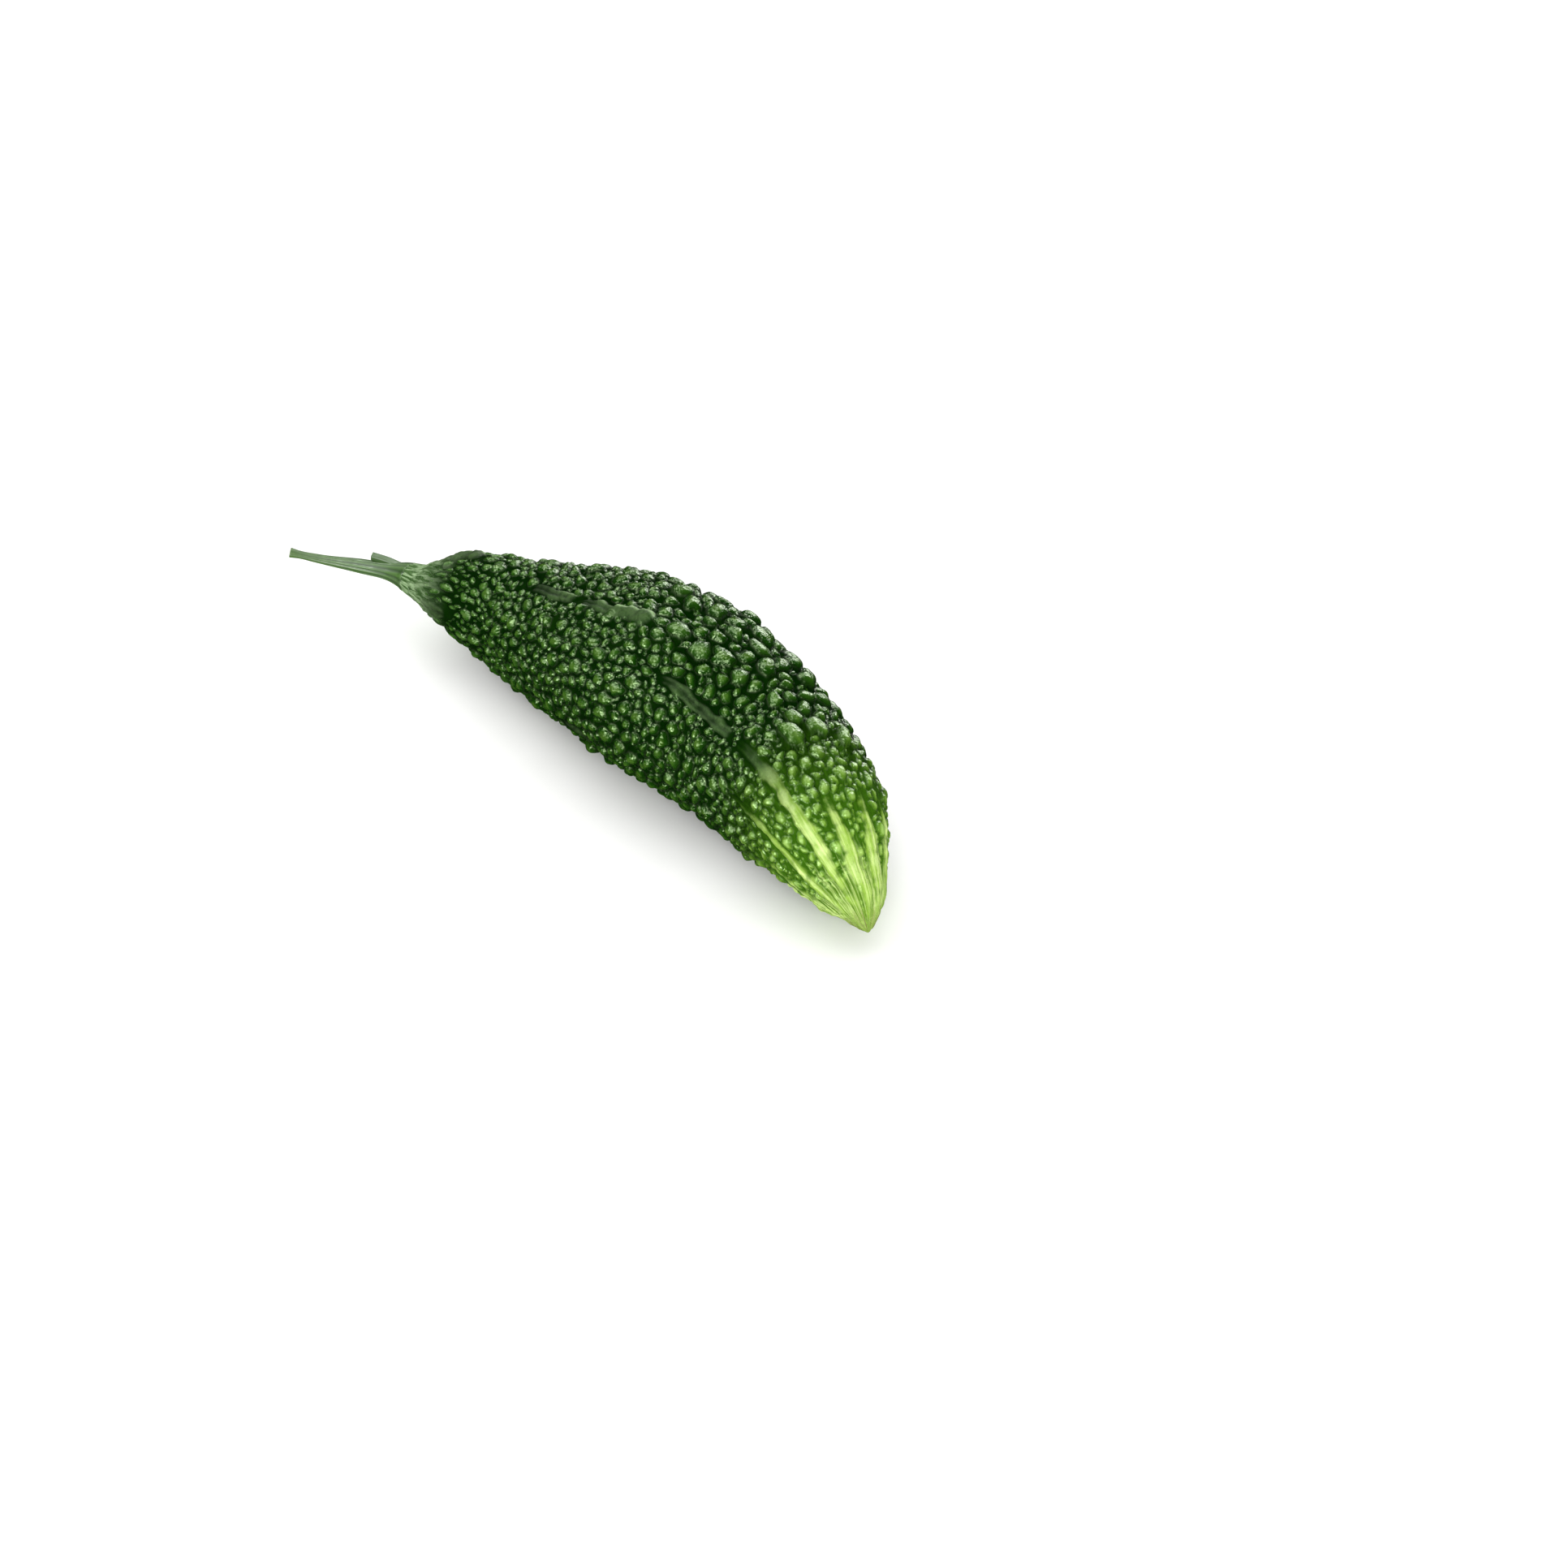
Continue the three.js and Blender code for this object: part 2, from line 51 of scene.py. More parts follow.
# Fruit: a bent spindle. Places along it are shares of its length, 0 at the neck and 1 at the blossom tip.
FRUIT_LENGTH = 221
BOW = [
    (0, 0),
    (0.08, 3.7),
    (0.2, 9.7),
    (0.35, 14.5),
    (0.5, 17.2),
    (0.65, 18.8),
    (0.8, 13.5),
    (0.92, 5),
    (1, 0),
]  # place, how far the axis stands off the chord
LIFT = [
    (0, 13),
    (0.1, 8.2),
    (0.2, 4.6),
    (0.35, 1.3),
    (0.5, 0),
    (0.62, 0),
    (0.75, 1.2),
    (0.88, 4.2),
    (1, 8),
]  # place, how far the underside curls up off the surface
GIRTH = [
    (0, 4.8),
    (0.025, 6.3),
    (0.05, 8.5),
    (0.08, 11.1),
    (0.12, 13.9),
    (0.2, 17.8),
    (0.32, 23.3),
    (0.45, 27.8),
    (0.58, 28.6),
    (0.7, 25.5),
    (0.8, 23.2),
    (0.88, 19.2),
    (0.94, 12.7),
    (0.98, 6.6),
    (1, 0.5),
]  # place, radius of the skin between the warts
WIDEST = 28.6
SWELLS = [
    (2, 0.9, 0.6, 0.5),
    (3, -1.3, 2.1, 0.4),
    (5, 1.7, 4.0, 0.3),
]  # broad uneven waves of the skin: count round, turn along, phase, height
SWELL_FADE = 0.125
TIP_NUB = 0.4

# Ridges: ten lines from neck to tip. Their crests are whole near the neck, in short stretches between, and
# from some way before the tip on to it.
CREST_FROM = 0.035
CREST_TO = 0.985
NECK_CREST = (CREST_FROM, 0.06, 1, 0.8)
RIDGES = [
    (33, [(0.3, 0.38, 0.5, 0.8), (0.86, CREST_TO, 0.5, 0.8)]),
    (61, [(0.05, 0.135, 0.9, 1.3), (0.87, CREST_TO, 0.9, 1.0)]),
    (93, [(0.27, 0.365, 0.7, 1.0), (0.365, 0.505, 0.5, 1.6), (0.87, CREST_TO, 1.1, 0.9)]),
    (122, [(0.56, 0.73, 0.8, 0.8), (0.745, CREST_TO, 0.9, 0.75)]),
    (157, [(0.045, 0.12, 1.0, 0.7), (0.79, CREST_TO, 0.4, 0.75)]),
    (190, [(0.38, 0.47, 0.5, 0.9), (0.86, CREST_TO, 0.5, 0.8)]),
    (228, [(0.15, 0.23, 0.5, 0.6), (0.6, 0.67, 0.8, 0.6), (0.82, CREST_TO, 0.55, 0.95)]),
    (266, [(0.42, 0.52, 0.4, 1), (0.86, CREST_TO, 0.55, 0.95)]),
    (306, [(0.26, 0.33, 0.6, 0.6), (0.78, CREST_TO, 0.55, 0.95)]),
    (350, [(0.5, 0.6, 0.5, 0.8), (0.84, CREST_TO, 0.55, 0.95)]),
]  # angle at the tip in degrees, 0 on the bowed side and 90 on top; and the stretches after the neck where
# the crest is whole, as from, to and the share of its width at either end
RIDGE_TWIST = 20
RIDGE_WANDER = 5
RIDGE_WAVES = (9, 2.4)  # turn of that wander along the fruit, and from one ridge to the next
RIDGE_STEP = 3
RIDGE_HALF_WIDTH = 2.8
RIDGE_HEIGHT = 1.9
RIDGE_GROOVE = 0.45  # depth of the shallow groove along a crest, as a share of its height
KNOB_ROOM = 0.55  # share of a crest's width that beads keep clear of
RIDGE_ROOM = 0.84
CREST_RISE = 0.04  # share of the fruit's length over which a crest grows to its height
TIP_CREST_RISE = 0.075
CREST_FALL = 0.01
CREST_LEAN = 0.3  # share by which the side of a wide crest that faces the bow stands higher
CREST_START = 0.35  # share of its width that a crest has where it starts
CREST_BOXES = (4, 2.3)  # exponent of a crest's profile, flat-topped at 4, and how much less it is at the tip
CREST_ROUNDING = 0.7
CREST_GROWTH = 0.6  # exponent by which a wider crest stands higher
CREST_WAVER = 0.2  # share by which its width and height vary
CREST_KNOBS = 0.24  # share by which small knobs raise and lower it
BOXY_UNTIL = (0.74, 0.82)
GROOVED_UNTIL = (0.74, 0.8)
GROOVE_WIDTH = 0.35  # of the half width
NARROW_GROOVED = (2.2, 3.2)  # half widths in millimetres between which the groove dies out
WIDE_LEANS = (2.4, 3.4)  # and between which the lean comes in
WIDE_HIGHLIGHTED = (2.2, 3.4)  # and the painted highlight along the crest
HIGHLIGHTED_UNTIL = (0.55, 0.6)
PAINTED_HIGHLIGHT_LINE = (0.66, 0.16, 1.1)  # how far from a crest's middle its painted highlight runs, how wide, and its limit
PAINTED_HIGHLIGHT_STRENGTH = (0.8, 0.4)  # usual strength of that painted highlight, and how much it varies
COVER_ACROSS = (1.15, 0.75)  # half widths between which a crest starts to take the beads away
COVER_ALONG = (0.3, 0.9)  # and shares of its full height

# Warts: scattered beads, in passes from the largest to those that fill the gaps.
WART_SPACING = [
    (0, 1.4),
    (0.06, 1.9),
    (0.15, 2.6),
    (0.3, 3.1),
    (0.5, 3.4),
    (0.7, 3.6),
    (0.82, 3.2),
    (0.9, 2.5),
    (1, 1.5),
]  # place, usual distance between two beads
SHOULDER_PLACE = 0.62
SHOULDER_SPREAD = 0.13
SHOULDER_ANGLE = 65
SHOULDER_REACH = 40
SHOULDER_GAIN = 0.5
LOBES = [
    (0.486, 69, 6.5, 6),
    (0.545, 100, 7, 5.5),
    (0.59, 103, 8, 5),
    (0.629, 72, 6, 5.5),
    (0.657, 100, 6, 5.6),
    (0.729, 91, 7.5, 4.4),
    (0.787, 76, 5.5, 5),
    (0.791, 97, 11.5, 5.2),
    (0.803, 57, 10, 4.2),
]  # the biggest beads, on the shoulder: place, angle, length, width
LOBE_UNEVEN = 0.7
PASSES = [(1.4, 500), (1.2, 1500), (1, 9000), (0.78, 18000)]  # share of the usual spacing, tries
GRAIN_PASSES = [(0.6, 25000), (0.42, 45000)]  # the small grains, which the solids leave out
WART_HEIGHT = 0.57
WART_UNEVEN = 0.5
FIRST_WART = 0.022
SEED = 20
GRAIN_SEED = 21

# The finer form of the beads: rounder than the solid's facets, with narrow gaps between.
BEAD_HALF_WIDTH = 0.74  # of a bead's spacing
BEAD_DOMES = (0.5, 0.95)  # exponent of a bead's profile: 1 is a parabola, 0.5 a half ball
BEAD_LENGTHS = (1.0, 1.45)  # how much longer than wide a bead is
BEAD_REACH = 2.0  # half widths beyond which a bead isn't felt
NECK_LENGTHS = 1.3  # share by which beads near the neck are longer still
NECK_APART = 0.8  # share by which they lie farther apart along the fruit than across it
NECK_BEADS = (0.08, 0.24)  # from and to where these die out
NECK_KEEPS = 0.45  # share of their height that beads have at the neck
NECK_RISES = (0.02, 0.14)  # from and to where they rise to their full height
LEANS_FROM = (0.1, 0.3)  # from and to where beads start to lean
LOBE_DOME = 0.5
LOBE_LEAN = 0.3
SHEEN_BY_SIZE = (0.55, 0.45)  # how much painted sheen the top of the lowest bead gets, and how much more a full one gets
FULL_BEAD = 0.7  # share of the usual height that counts as full
LEAST_SHARE = 0.05
CREST_COVER = 0.7  # share of the beads' height that a whole crest takes away
TIP_SHOWS = 0.55  # and how much less of it near the tip
TIP_SHOWS_FROM = (0.82, 0.95)
PITTED = (1.6, 0.2)  # cell size and height of the small unevenness all over the rind
PITTED_FROM = (0.04, 0.15)
CREASE = 0.2  # sharpness of the gap between two beads, as a share of their half widths
CREASE_DEPTH = 0.9
CREST_BLEND = 5  # how sharply beads and crests meet, per millimetre
WARPS = [(4, 0.9), (1.8, 0.5)]  # cell size and reach of the noise that pushes the beads out of round
FLUTTER_SIZE = 3.5  # cell size of the noise that varies the crests
KNOBBLY_SIZE = 1.6
SWAYS = [(0.9, 8, 5), (0.35, 3, 8)]  # how far the crests sway to the side: reach, cell size, seed
BROAD_SIZE = 11
BROAD_HEIGHT = 1.1
BROAD_FROM = (0.1, 0.3)
BROAD_UNTIL = (0.75, 0.9)
TIP_CALM = (0.84, 1.0, 0.4)  # from and to where the relief dies down at the tip, and the share that it loses

# Seeds of the smooth noise
ALONG_SEED = 1
ROUND_SEED = 2
FLUTTER_SEED = 3
BROAD_SEED = 4
PITTED_SEED = 6
KNOBBLY_SEED = 7

# Neck and stem: the ribs of the stem run on into the ridges of the fruit.
RIB_HEIGHT = 0.45
RIB_HALF_WIDTH = 1
RIB_FADE = 0.07
RIB_LOSS = 0.7
NECK_RUN = 2
STEM_GAP = 0.3
STEM_PATH = [
    (-118.3, -2.7, 17.4),
    (-128.5, -8.4, 17.2),
    (-137.2, -15.3, 18.2),
    (-145.6, -22.9, 20.4),
]  # from the neck outwards to the cut end
STEM_RADII = [
    (0, 4.8),
    (0.17, 2.95),
    (0.45, 2.2),
    (0.8, 1.35),
    (0.93, 1.25),
    (1, 1.6),
]  # share of the path, radius between the ribs
NECK_DEPTH = 1.2  # how far the stem reaches into the neck
NECK_SHARES = (0.9, 0.995)  # its two rings in there, as shares of the first ring outside
CUP_RINGS = [(0.9, -0.12), (0.74, 0.1), (0.55, 0.6), (0.3, 1.0)]  # share of the cut end's radius, depth
CUP_DEPTH = 1.2
CURVE_STEPS = 600
STUB_PATH = [
    (-113.8, 0.6, 18.9),
    (-119.7, -1.4, 20.2),
    (-125.1, -4.3, 21),
]  # a cut side shoot
STUB_RADIUS = 1.35
STUB_FLARE = 0.9
STUB_FLARE_FADE = 5
STUB_GROOVES = 5
STUB_GROOVE_DEPTH = 0.08
STUB_CAP = [(0.92, 0.08), (0.6, 0), (0.3, -0.2)]  # share of its radius, height over its end
STUB_HOLLOW = 0.2
STUB_SHARE = 0.3  # its colour is that of this share of the stem's path
STUB_RIB = 0.5

TABLE_STEPS = 1200

# Mesh
SKIN_STEP = 0.56  # distance between neighbouring points of the rind
STEM_SIDES = 100
STEM_RINGS = 150
STUB_SIDES = 48
STUB_RINGS = 40

# Camera, at the viewing angle of the reference
CAMERA_AZIMUTH = 47.7
CAMERA_ELEVATION = 40
CAMERA_DISTANCE = 1140.4
CAMERA_LENS = 85
CAMERA_SENSOR = 36
CAMERA_TARGET = (53.06, 18.3, 20)  # in the fruit's own frame

# Surroundings, in metres
FLOOR_HALF_SIZE = 4
SKY_LIGHT = 0.8
SKY_GLOSS = 0.02
MIDDLE = (0.02, 0, 0.03)  # what the lights look at
LIGHTS = [
    ("key", -150, 68, 1.2, 2.2, 12.5, "body"),
    ("fill", 5, 26, 1.4, 0.9, 12, "body"),
    ("softbox", -130, 58, 1.2, 0.6, 17, "gloss"),
    ("glint", -35, 18, 1.2, 0.5, 34, "gloss"),
    ("rim", 155, 20, 1.2, 0.8, 18, "gloss"),
]  # name, turn from the camera, elevation, distance, size, watts, and what it lights


def through(knots, place):
    """A smooth curve through knots of (place, value)."""
    at, value = np.array(knots, float).T
    width = np.diff(at)
    grade = np.diff(value) / width
    slope = np.empty(len(at))
    slope[0], slope[-1] = grade[0], grade[-1]
    slope[1:-1] = (grade[:-1] * width[1:] + grade[1:] * width[:-1]) / (width[:-1] + width[1:])
    i = np.clip(np.searchsorted(at, place, side="right") - 1, 0, len(at) - 2)
    f = (place - at[i]) / width[i]
    return (
        (2 * f**3 - 3 * f**2 + 1) * value[i]
        + (f**3 - 2 * f**2 + f) * width[i] * slope[i]
        + (3 * f**2 - 2 * f**3) * value[i + 1]
        + (f**3 - f**2) * width[i] * slope[i + 1]
    )


def unit(vectors):
    return vectors / np.linalg.norm(vectors, axis=-1, keepdims=True)


def smooth_step(start, end, value):
    share = np.clip((value - start) / (end - start), 0, 1)
    return share * share * (3 - 2 * share)


def axis_point(place):
    height = through(GIRTH, place) + through(LIFT, place)
    return np.stack([FRUIT_LENGTH * (place - 0.5), through(BOW, place), height], axis=-1)


def station(place):
    """The axis there: its point, its direction, the two directions across it, the radius and its slope."""
    step = 1e-3
    before = np.maximum(0, place - step)
    after = np.minimum(1, place + step)
    chord = axis_point(after) - axis_point(before)
    run = np.linalg.norm(chord, axis=-1)
    along = unit(chord)
    side = unit(np.cross([0.0, 0.0, 1.0], along))
    up = np.cross(along, side)
    slope = (through(GIRTH, after) - through(GIRTH, before)) / run
    return axis_point(place), along, side, up, through(GIRTH, place), slope


def skin_point(place, angle, height):
    point, along, side, up, radius, slope = station(place)
    out = side * np.cos(angle)[..., None] + up * np.sin(angle)[..., None]
    normal = unit(out - along * slope[..., None])
    return point + out * radius[..., None] + normal * height[..., None]


# The skin unrolled so that small shapes keep their form: the reach is the sum of length over radius, and a
# distance on the skin is the distance in (reach, angle) times the radius there.
table_places = np.linspace(0, 1, TABLE_STEPS + 1)
table_radii = through(GIRTH, table_places)
table_runs = np.hypot(
    np.linalg.norm(np.diff(axis_point(table_places), axis=0), axis=1),
    np.diff(table_radii),
)
table_reach = np.concatenate([[0], np.cumsum(2 * table_runs / (table_radii[:-1] + table_radii[1:]))])
FULL_REACH = table_reach[-1]


def reach_of(place):
    return np.interp(place, table_places, table_reach)


def place_of(reach):
    return np.interp(reach, table_reach, table_places)


def turn_between(a, b):
    return (a - b + math.pi) % (2 * math.pi) - math.pi


def random_from(seed):
    """Repeatable random numbers from 0 to 1, in 32-bit arithmetic."""
    low_bits = 0xFFFFFFFF
    state = seed
    while True:
        state = (state + 0x6D2B79F5) & low_bits
        mixed = ((state ^ (state >> 15)) * (1 | state)) & low_bits
        mixed = ((mixed + (mixed ^ (mixed >> 7)) * (61 | mixed)) ^ mixed) & low_bits
        yield (mixed ^ (mixed >> 14)) / (low_bits + 1)


def smooth_noise(points, size, seed):
    """A smooth random field from -1 to 1, with cells of that size."""
    count = 64
    lattice = np.random.default_rng(seed).uniform(-1, 1, (count, count, count))
    cell = points / size
    base = np.floor(cell).astype(int)
    f = cell - base
    f = f * f * (3 - 2 * f)
    total = np.zeros(len(points))
    for corner in np.ndindex(2, 2, 2):
        weight = np.prod(np.where(corner, f, 1 - f), axis=1)
        x, y, z = ((base + corner) % count).T
        total += weight * lattice[x, y, z]
    return total


def ridge_angle(index, place):
    stray = RIDGE_WANDER * np.sin(RIDGE_WAVES[0] * place + RIDGE_WAVES[1] * index) * (1 - place)
    return np.radians(RIDGES[index][0] + RIDGE_TWIST * (1 - place) + stray)


def crest_half_width(radius):
    return np.minimum(RIDGE_HALF_WIDTH, RIDGE_ROOM * math.pi * radius / len(RIDGES))


def calm(place):
    """How much of the relief is left, which dies down towards the tip."""
    start, end, loss = TIP_CALM
    return 1 - loss * smooth_step(start, end, place)


def crest_knobs():
    """The room that the crests take among the beads, as rows of reach, angle, radius and spacing."""
    knobs = []
    for index, (_, stretches) in enumerate(RIDGES):
        place = CREST_FROM
        while place < CREST_TO:
            radius = through(GIRTH, place)
            half_width = crest_half_width(radius)
            if any(start < place < end for start, end, _, _ in [NECK_CREST, *stretches]):
                knobs.append((reach_of(place), ridge_angle(index, place), radius, 2 * KNOB_ROOM * half_width))
            place += RIDGE_STEP * max(0.5, half_width / RIDGE_HALF_WIDTH) / FRUIT_LENGTH
    return np.array(knobs)


def bead_spacing(place, angle):
    along = (place - SHOULDER_PLACE) / SHOULDER_SPREAD
    turned = np.degrees(turn_between(angle, math.radians(SHOULDER_ANGLE)))
    near = np.exp(-(along**2) - (turned / SHOULDER_REACH) ** 2)
    return through(WART_SPACING, place) * (1 + SHOULDER_GAIN * near)


def big_lobes():
    """The biggest beads, as rows of reach, angle, radius, spacing and unevenness."""
    place, angle, length, width = np.array(LOBES).T
    spacing = np.sqrt(length * width)
    uneven = np.full(len(place), LOBE_UNEVEN)
    return np.stack([reach_of(place), np.radians(angle), through(GIRTH, place), spacing, uneven], axis=1)


def scatter(taken, passes, random):
    """Beads wherever there is room, as rows of reach, angle, radius, spacing and unevenness."""
    taken = [tuple(row) for row in taken]
    others = np.zeros((len(taken) + sum(tries for _, tries in passes), 4))
    others[: len(taken)] = [row[:4] for row in taken]
    count = len(taken)
    beads = []
    first = reach_of(FIRST_WART)
    for scale, tries in passes:
        draws = np.array([next(random) for _ in range(4 * tries)]).reshape(tries, 4)
        reach = first + draws[:, 0] * (FULL_REACH - first)
        angle = draws[:, 1] * 2 * math.pi
        place = place_of(reach)
        radius = through(GIRTH, place)
        spacing = scale * bead_spacing(place, angle)
        drawn_out = 1 + NECK_APART * (1 - smooth_step(*NECK_BEADS, place))
        for i in np.flatnonzero(draws[:, 2] <= (radius / WIDEST) ** 2):
            near = others[:count]
            ahead = (reach[i] - near[:, 0]) / drawn_out[i]
            apart = np.hypot(ahead, turn_between(angle[i], near[:, 1])) * (radius[i] + near[:, 2])
            if np.all(apart >= spacing[i] + near[:, 3]):
                others[count] = (reach[i], angle[i], radius[i], spacing[i])
                beads.append((*others[count], draws[i, 3]))
                count += 1
    return np.array(beads)


class Skin:
    """The points of the rind, ring by ring at an even distance, over which the relief is raised."""

    def __init__(self):
        runs = np.concatenate([[0], np.cumsum(table_runs)])
        rings = round(runs[-1] / SKIN_STEP)
        self.ring_places = np.interp(np.linspace(0, runs[-1], rings + 1), runs, table_places)
        radii = through(GIRTH, self.ring_places)
        self.counts = np.maximum(12, np.round(2 * math.pi * radii / SKIN_STEP)).astype(int)
        self.starts = np.concatenate([[0], np.cumsum(self.counts)])
        self.place = np.repeat(self.ring_places, self.counts)
        self.radius = through(GIRTH, self.place)
        within = np.arange(self.starts[-1]) - np.repeat(self.starts[:-1], self.counts)
        shifted = within + 0.5 * np.repeat(np.arange(rings + 1) % 2, self.counts)
        self.angle = 2 * math.pi * shifted / np.repeat(self.counts, self.counts)
        self.reach = reach_of(self.place)

    def slice_near(self, reach, spread):
        """The points of the rings that lie within that spread of a reach."""
        ring_reach = reach_of(self.ring_places)
        first, last = np.searchsorted(ring_reach, [reach - spread, reach + spread])
        return slice(self.starts[first], self.starts[last])

    def triangles(self):
        """Stitches each ring to the next, advancing on whichever has the nearer next point."""
        stitched = []
        for ring in range(len(self.counts) - 1):
            here, there = self.starts[ring], self.starts[ring + 1]
            n, m = self.counts[ring], self.counts[ring + 1]
            middle_here = (np.arange(n) + 0.5 + 0.5 * (ring % 2)) / n
            middle_there = (np.arange(m) + 0.5 + 0.5 * ((ring + 1) % 2)) / m
            apex = np.searchsorted(middle_there, middle_here, side="left") % m
            base = np.arange(n)
            stitched.append(np.stack([here + (base + 1) % n, here + base, there + apex], axis=1))
            apex = np.searchsorted(middle_here, middle_there, side="right") % n
            base = np.arange(m)
            stitched.append(np.stack([there + base, there + (base + 1) % m, here + apex], axis=1))
        return np.concatenate(stitched)


def ribs(angle):
    highest = np.zeros(len(angle))
    for index in range(len(RIDGES)):
        apart = turn_between(angle, ridge_angle(index, 0)) * GIRTH[0][1] / RIB_HALF_WIDTH
        highest = np.maximum(highest, np.exp(-apart * apart))
    return RIB_HEIGHT * highest


def swell(reach, angle, place):
    inside = np.minimum(1, np.minimum(place, 1 - place) / SWELL_FADE)
    return inside * sum(
        height * np.sin(count * angle + turn * reach + phase) for count, turn, phase, height in SWELLS
    )


def bead_forms(beads):
    """How long for its width each bead is, how domed, how far it leans, and its tint."""
    draw = np.random.default_rng(SEED)
    place = place_of(beads[:, 0])
    drawn_out = 1 + NECK_LENGTHS * (1 - smooth_step(*NECK_BEADS, place))
    lengths = draw.uniform(*BEAD_LENGTHS, len(beads)) * drawn_out
    domes = draw.uniform(*BEAD_DOMES, len(beads))
    leans = draw.uniform(-1, 1, len(beads)) * smooth_step(*LEANS_FROM, place)
    tints = draw.uniform(-1, 1, len(beads))
    for index, (_, _, length, width) in enumerate(LOBES):
        lengths[index] = length / width
        domes[index] = LOBE_DOME
        leans[index] *= LOBE_LEAN
        tints[index] = 1
    return np.stack([lengths, domes, leans, tints], axis=1)


def relief(skin, beads, forms, warp):
    """Height of the beads over the skin, with creases between them; its share of the bead's own height; how
    near to the middle of a bead, 1 there; tint."""
    count = len(skin.place)
    nearest = np.full(count, BEAD_REACH)
    second = np.full(count, BEAD_REACH)
    height = np.zeros(count)
    share = np.zeros(count)
    core = np.zeros(count)
    tint = np.zeros(count)
    reach_at = skin.reach + warp[0]
    angle_at = skin.angle + warp[1]
    reach_margin = np.abs(warp[0] * skin.radius).max()
    for (reach, angle, radius, spacing, uneven), (length, dome, lean, shade) in zip(beads, forms):
        half_width = BEAD_HALF_WIDTH * spacing
        top = WART_HEIGHT * spacing * (1 + WART_UNEVEN * (uneven - 0.5))
        near = skin.slice_near(reach, (BEAD_REACH * length * half_width + reach_margin) / radius)
        along = (reach_at[near] - reach) * radius
        across = turn_between(angle_at[near], angle) * radius
        turned_along = along + lean * across
        turned_across = across - lean * along
        scale = half_width * math.hypot(1, lean)
        apart = np.hypot(turned_along / math.sqrt(length), turned_across * math.sqrt(length)) / scale
        inside = np.flatnonzero(apart < second[near])
        chosen = near.start + inside
        apart = apart[inside]
        closest = apart < nearest[chosen]
        second[chosen] = np.where(closest, nearest[chosen], apart)
        won = chosen[closest]
        nearest[won] = apart[closest]
        core[won] = np.clip(1 - apart[closest] ** 2, 0, 1)
        share[won] = core[won] ** dome
        height[won] = top * share[won]
        tint[won] = shade
    crease = 1 - CREASE_DEPTH * np.exp(-(second - nearest) / CREASE)
    return height * crease, share * crease, core * crease, tint


def crests(skin, flutter, sway, knobbly):
    """Height of the whole crests, how far they keep the beads off, and a painted highlight along the side of
    the wide crests that faces the bow.
    """
    highest = np.zeros(len(skin.place))
    cover = np.zeros(len(skin.place))
    painted_crest_highlight = np.zeros(len(skin.place))
    for index, (_, stretches) in enumerate(RIDGES):
        there = np.zeros(len(skin.place))
        wide = np.ones(len(skin.place))
        for start, end, first, last in [NECK_CREST, *stretches]:
            to_tip = end == CREST_TO
            rise = np.clip((skin.place - start) / (TIP_CREST_RISE if to_tip else CREST_RISE), 0, 1)
            fall = 1 if to_tip else np.clip((end - skin.place) / CREST_FALL, 0, 1)
            inside = (skin.place > start) & (skin.place < end)
            wide[inside] = (first + (last - first) * (skin.place - start) / (end - start))[inside]
            there = np.maximum(there, np.sqrt(rise * fall))
        uneven = CREST_WAVER * flutter / np.maximum(1, wide)
        grown = CREST_START + (1 - CREST_START) * there
        half_width = crest_half_width(skin.radius) * wide * (1 + uneven) * grown
        apart = (turn_between(skin.angle, ridge_angle(index, skin.place)) * skin.radius + sway) / half_width
        grooved = 1 - smooth_step(*NARROW_GROOVED, half_width)
        grooved = grooved * (1 - smooth_step(*GROOVED_UNTIL, skin.place))
        groove = RIDGE_GROOVE * grooved * np.exp(-((apart / GROOVE_WIDTH) ** 2))
        lean = CREST_LEAN * smooth_step(*WIDE_LEANS, half_width) * np.clip(apart, -1, 1)
        boxy = CREST_BOXES[0] - CREST_BOXES[1] * smooth_step(*BOXY_UNTIL, skin.place)
        profile = np.clip(1 - np.abs(apart) ** boxy, 0, 1) ** CREST_ROUNDING * (1 - groove) * (1 - lean)
        wrinkles = CREST_WAVER * flutter + CREST_KNOBS * knobbly
        height = RIDGE_HEIGHT * (half_width / RIDGE_HALF_WIDTH) ** CREST_GROWTH * (1 + wrinkles)
        highest = np.maximum(highest, height * profile * there)
        covered = smooth_step(*COVER_ACROSS, np.abs(apart)) * smooth_step(*COVER_ALONG, there)
        cover = np.maximum(cover, covered)
        # Painted highlight: a pale line along the side of a wide crest that faces the bow, up to just past
        # the middle of the fruit.
        middle, width, limit = PAINTED_HIGHLIGHT_LINE
        sharp = smooth_step(*WIDE_HIGHLIGHTED, half_width) * there * (np.abs(apart) < limit)
        sharp = sharp * (1 - smooth_step(*HIGHLIGHTED_UNTIL, skin.place))
        strength = PAINTED_HIGHLIGHT_STRENGTH[0] + PAINTED_HIGHLIGHT_STRENGTH[1] * flutter
        painted_crest_highlight = np.maximum(painted_crest_highlight, sharp * np.exp(-(((apart + middle) / width) ** 2)) * strength)
    return highest, cover, np.clip(painted_crest_highlight, 0, 1)


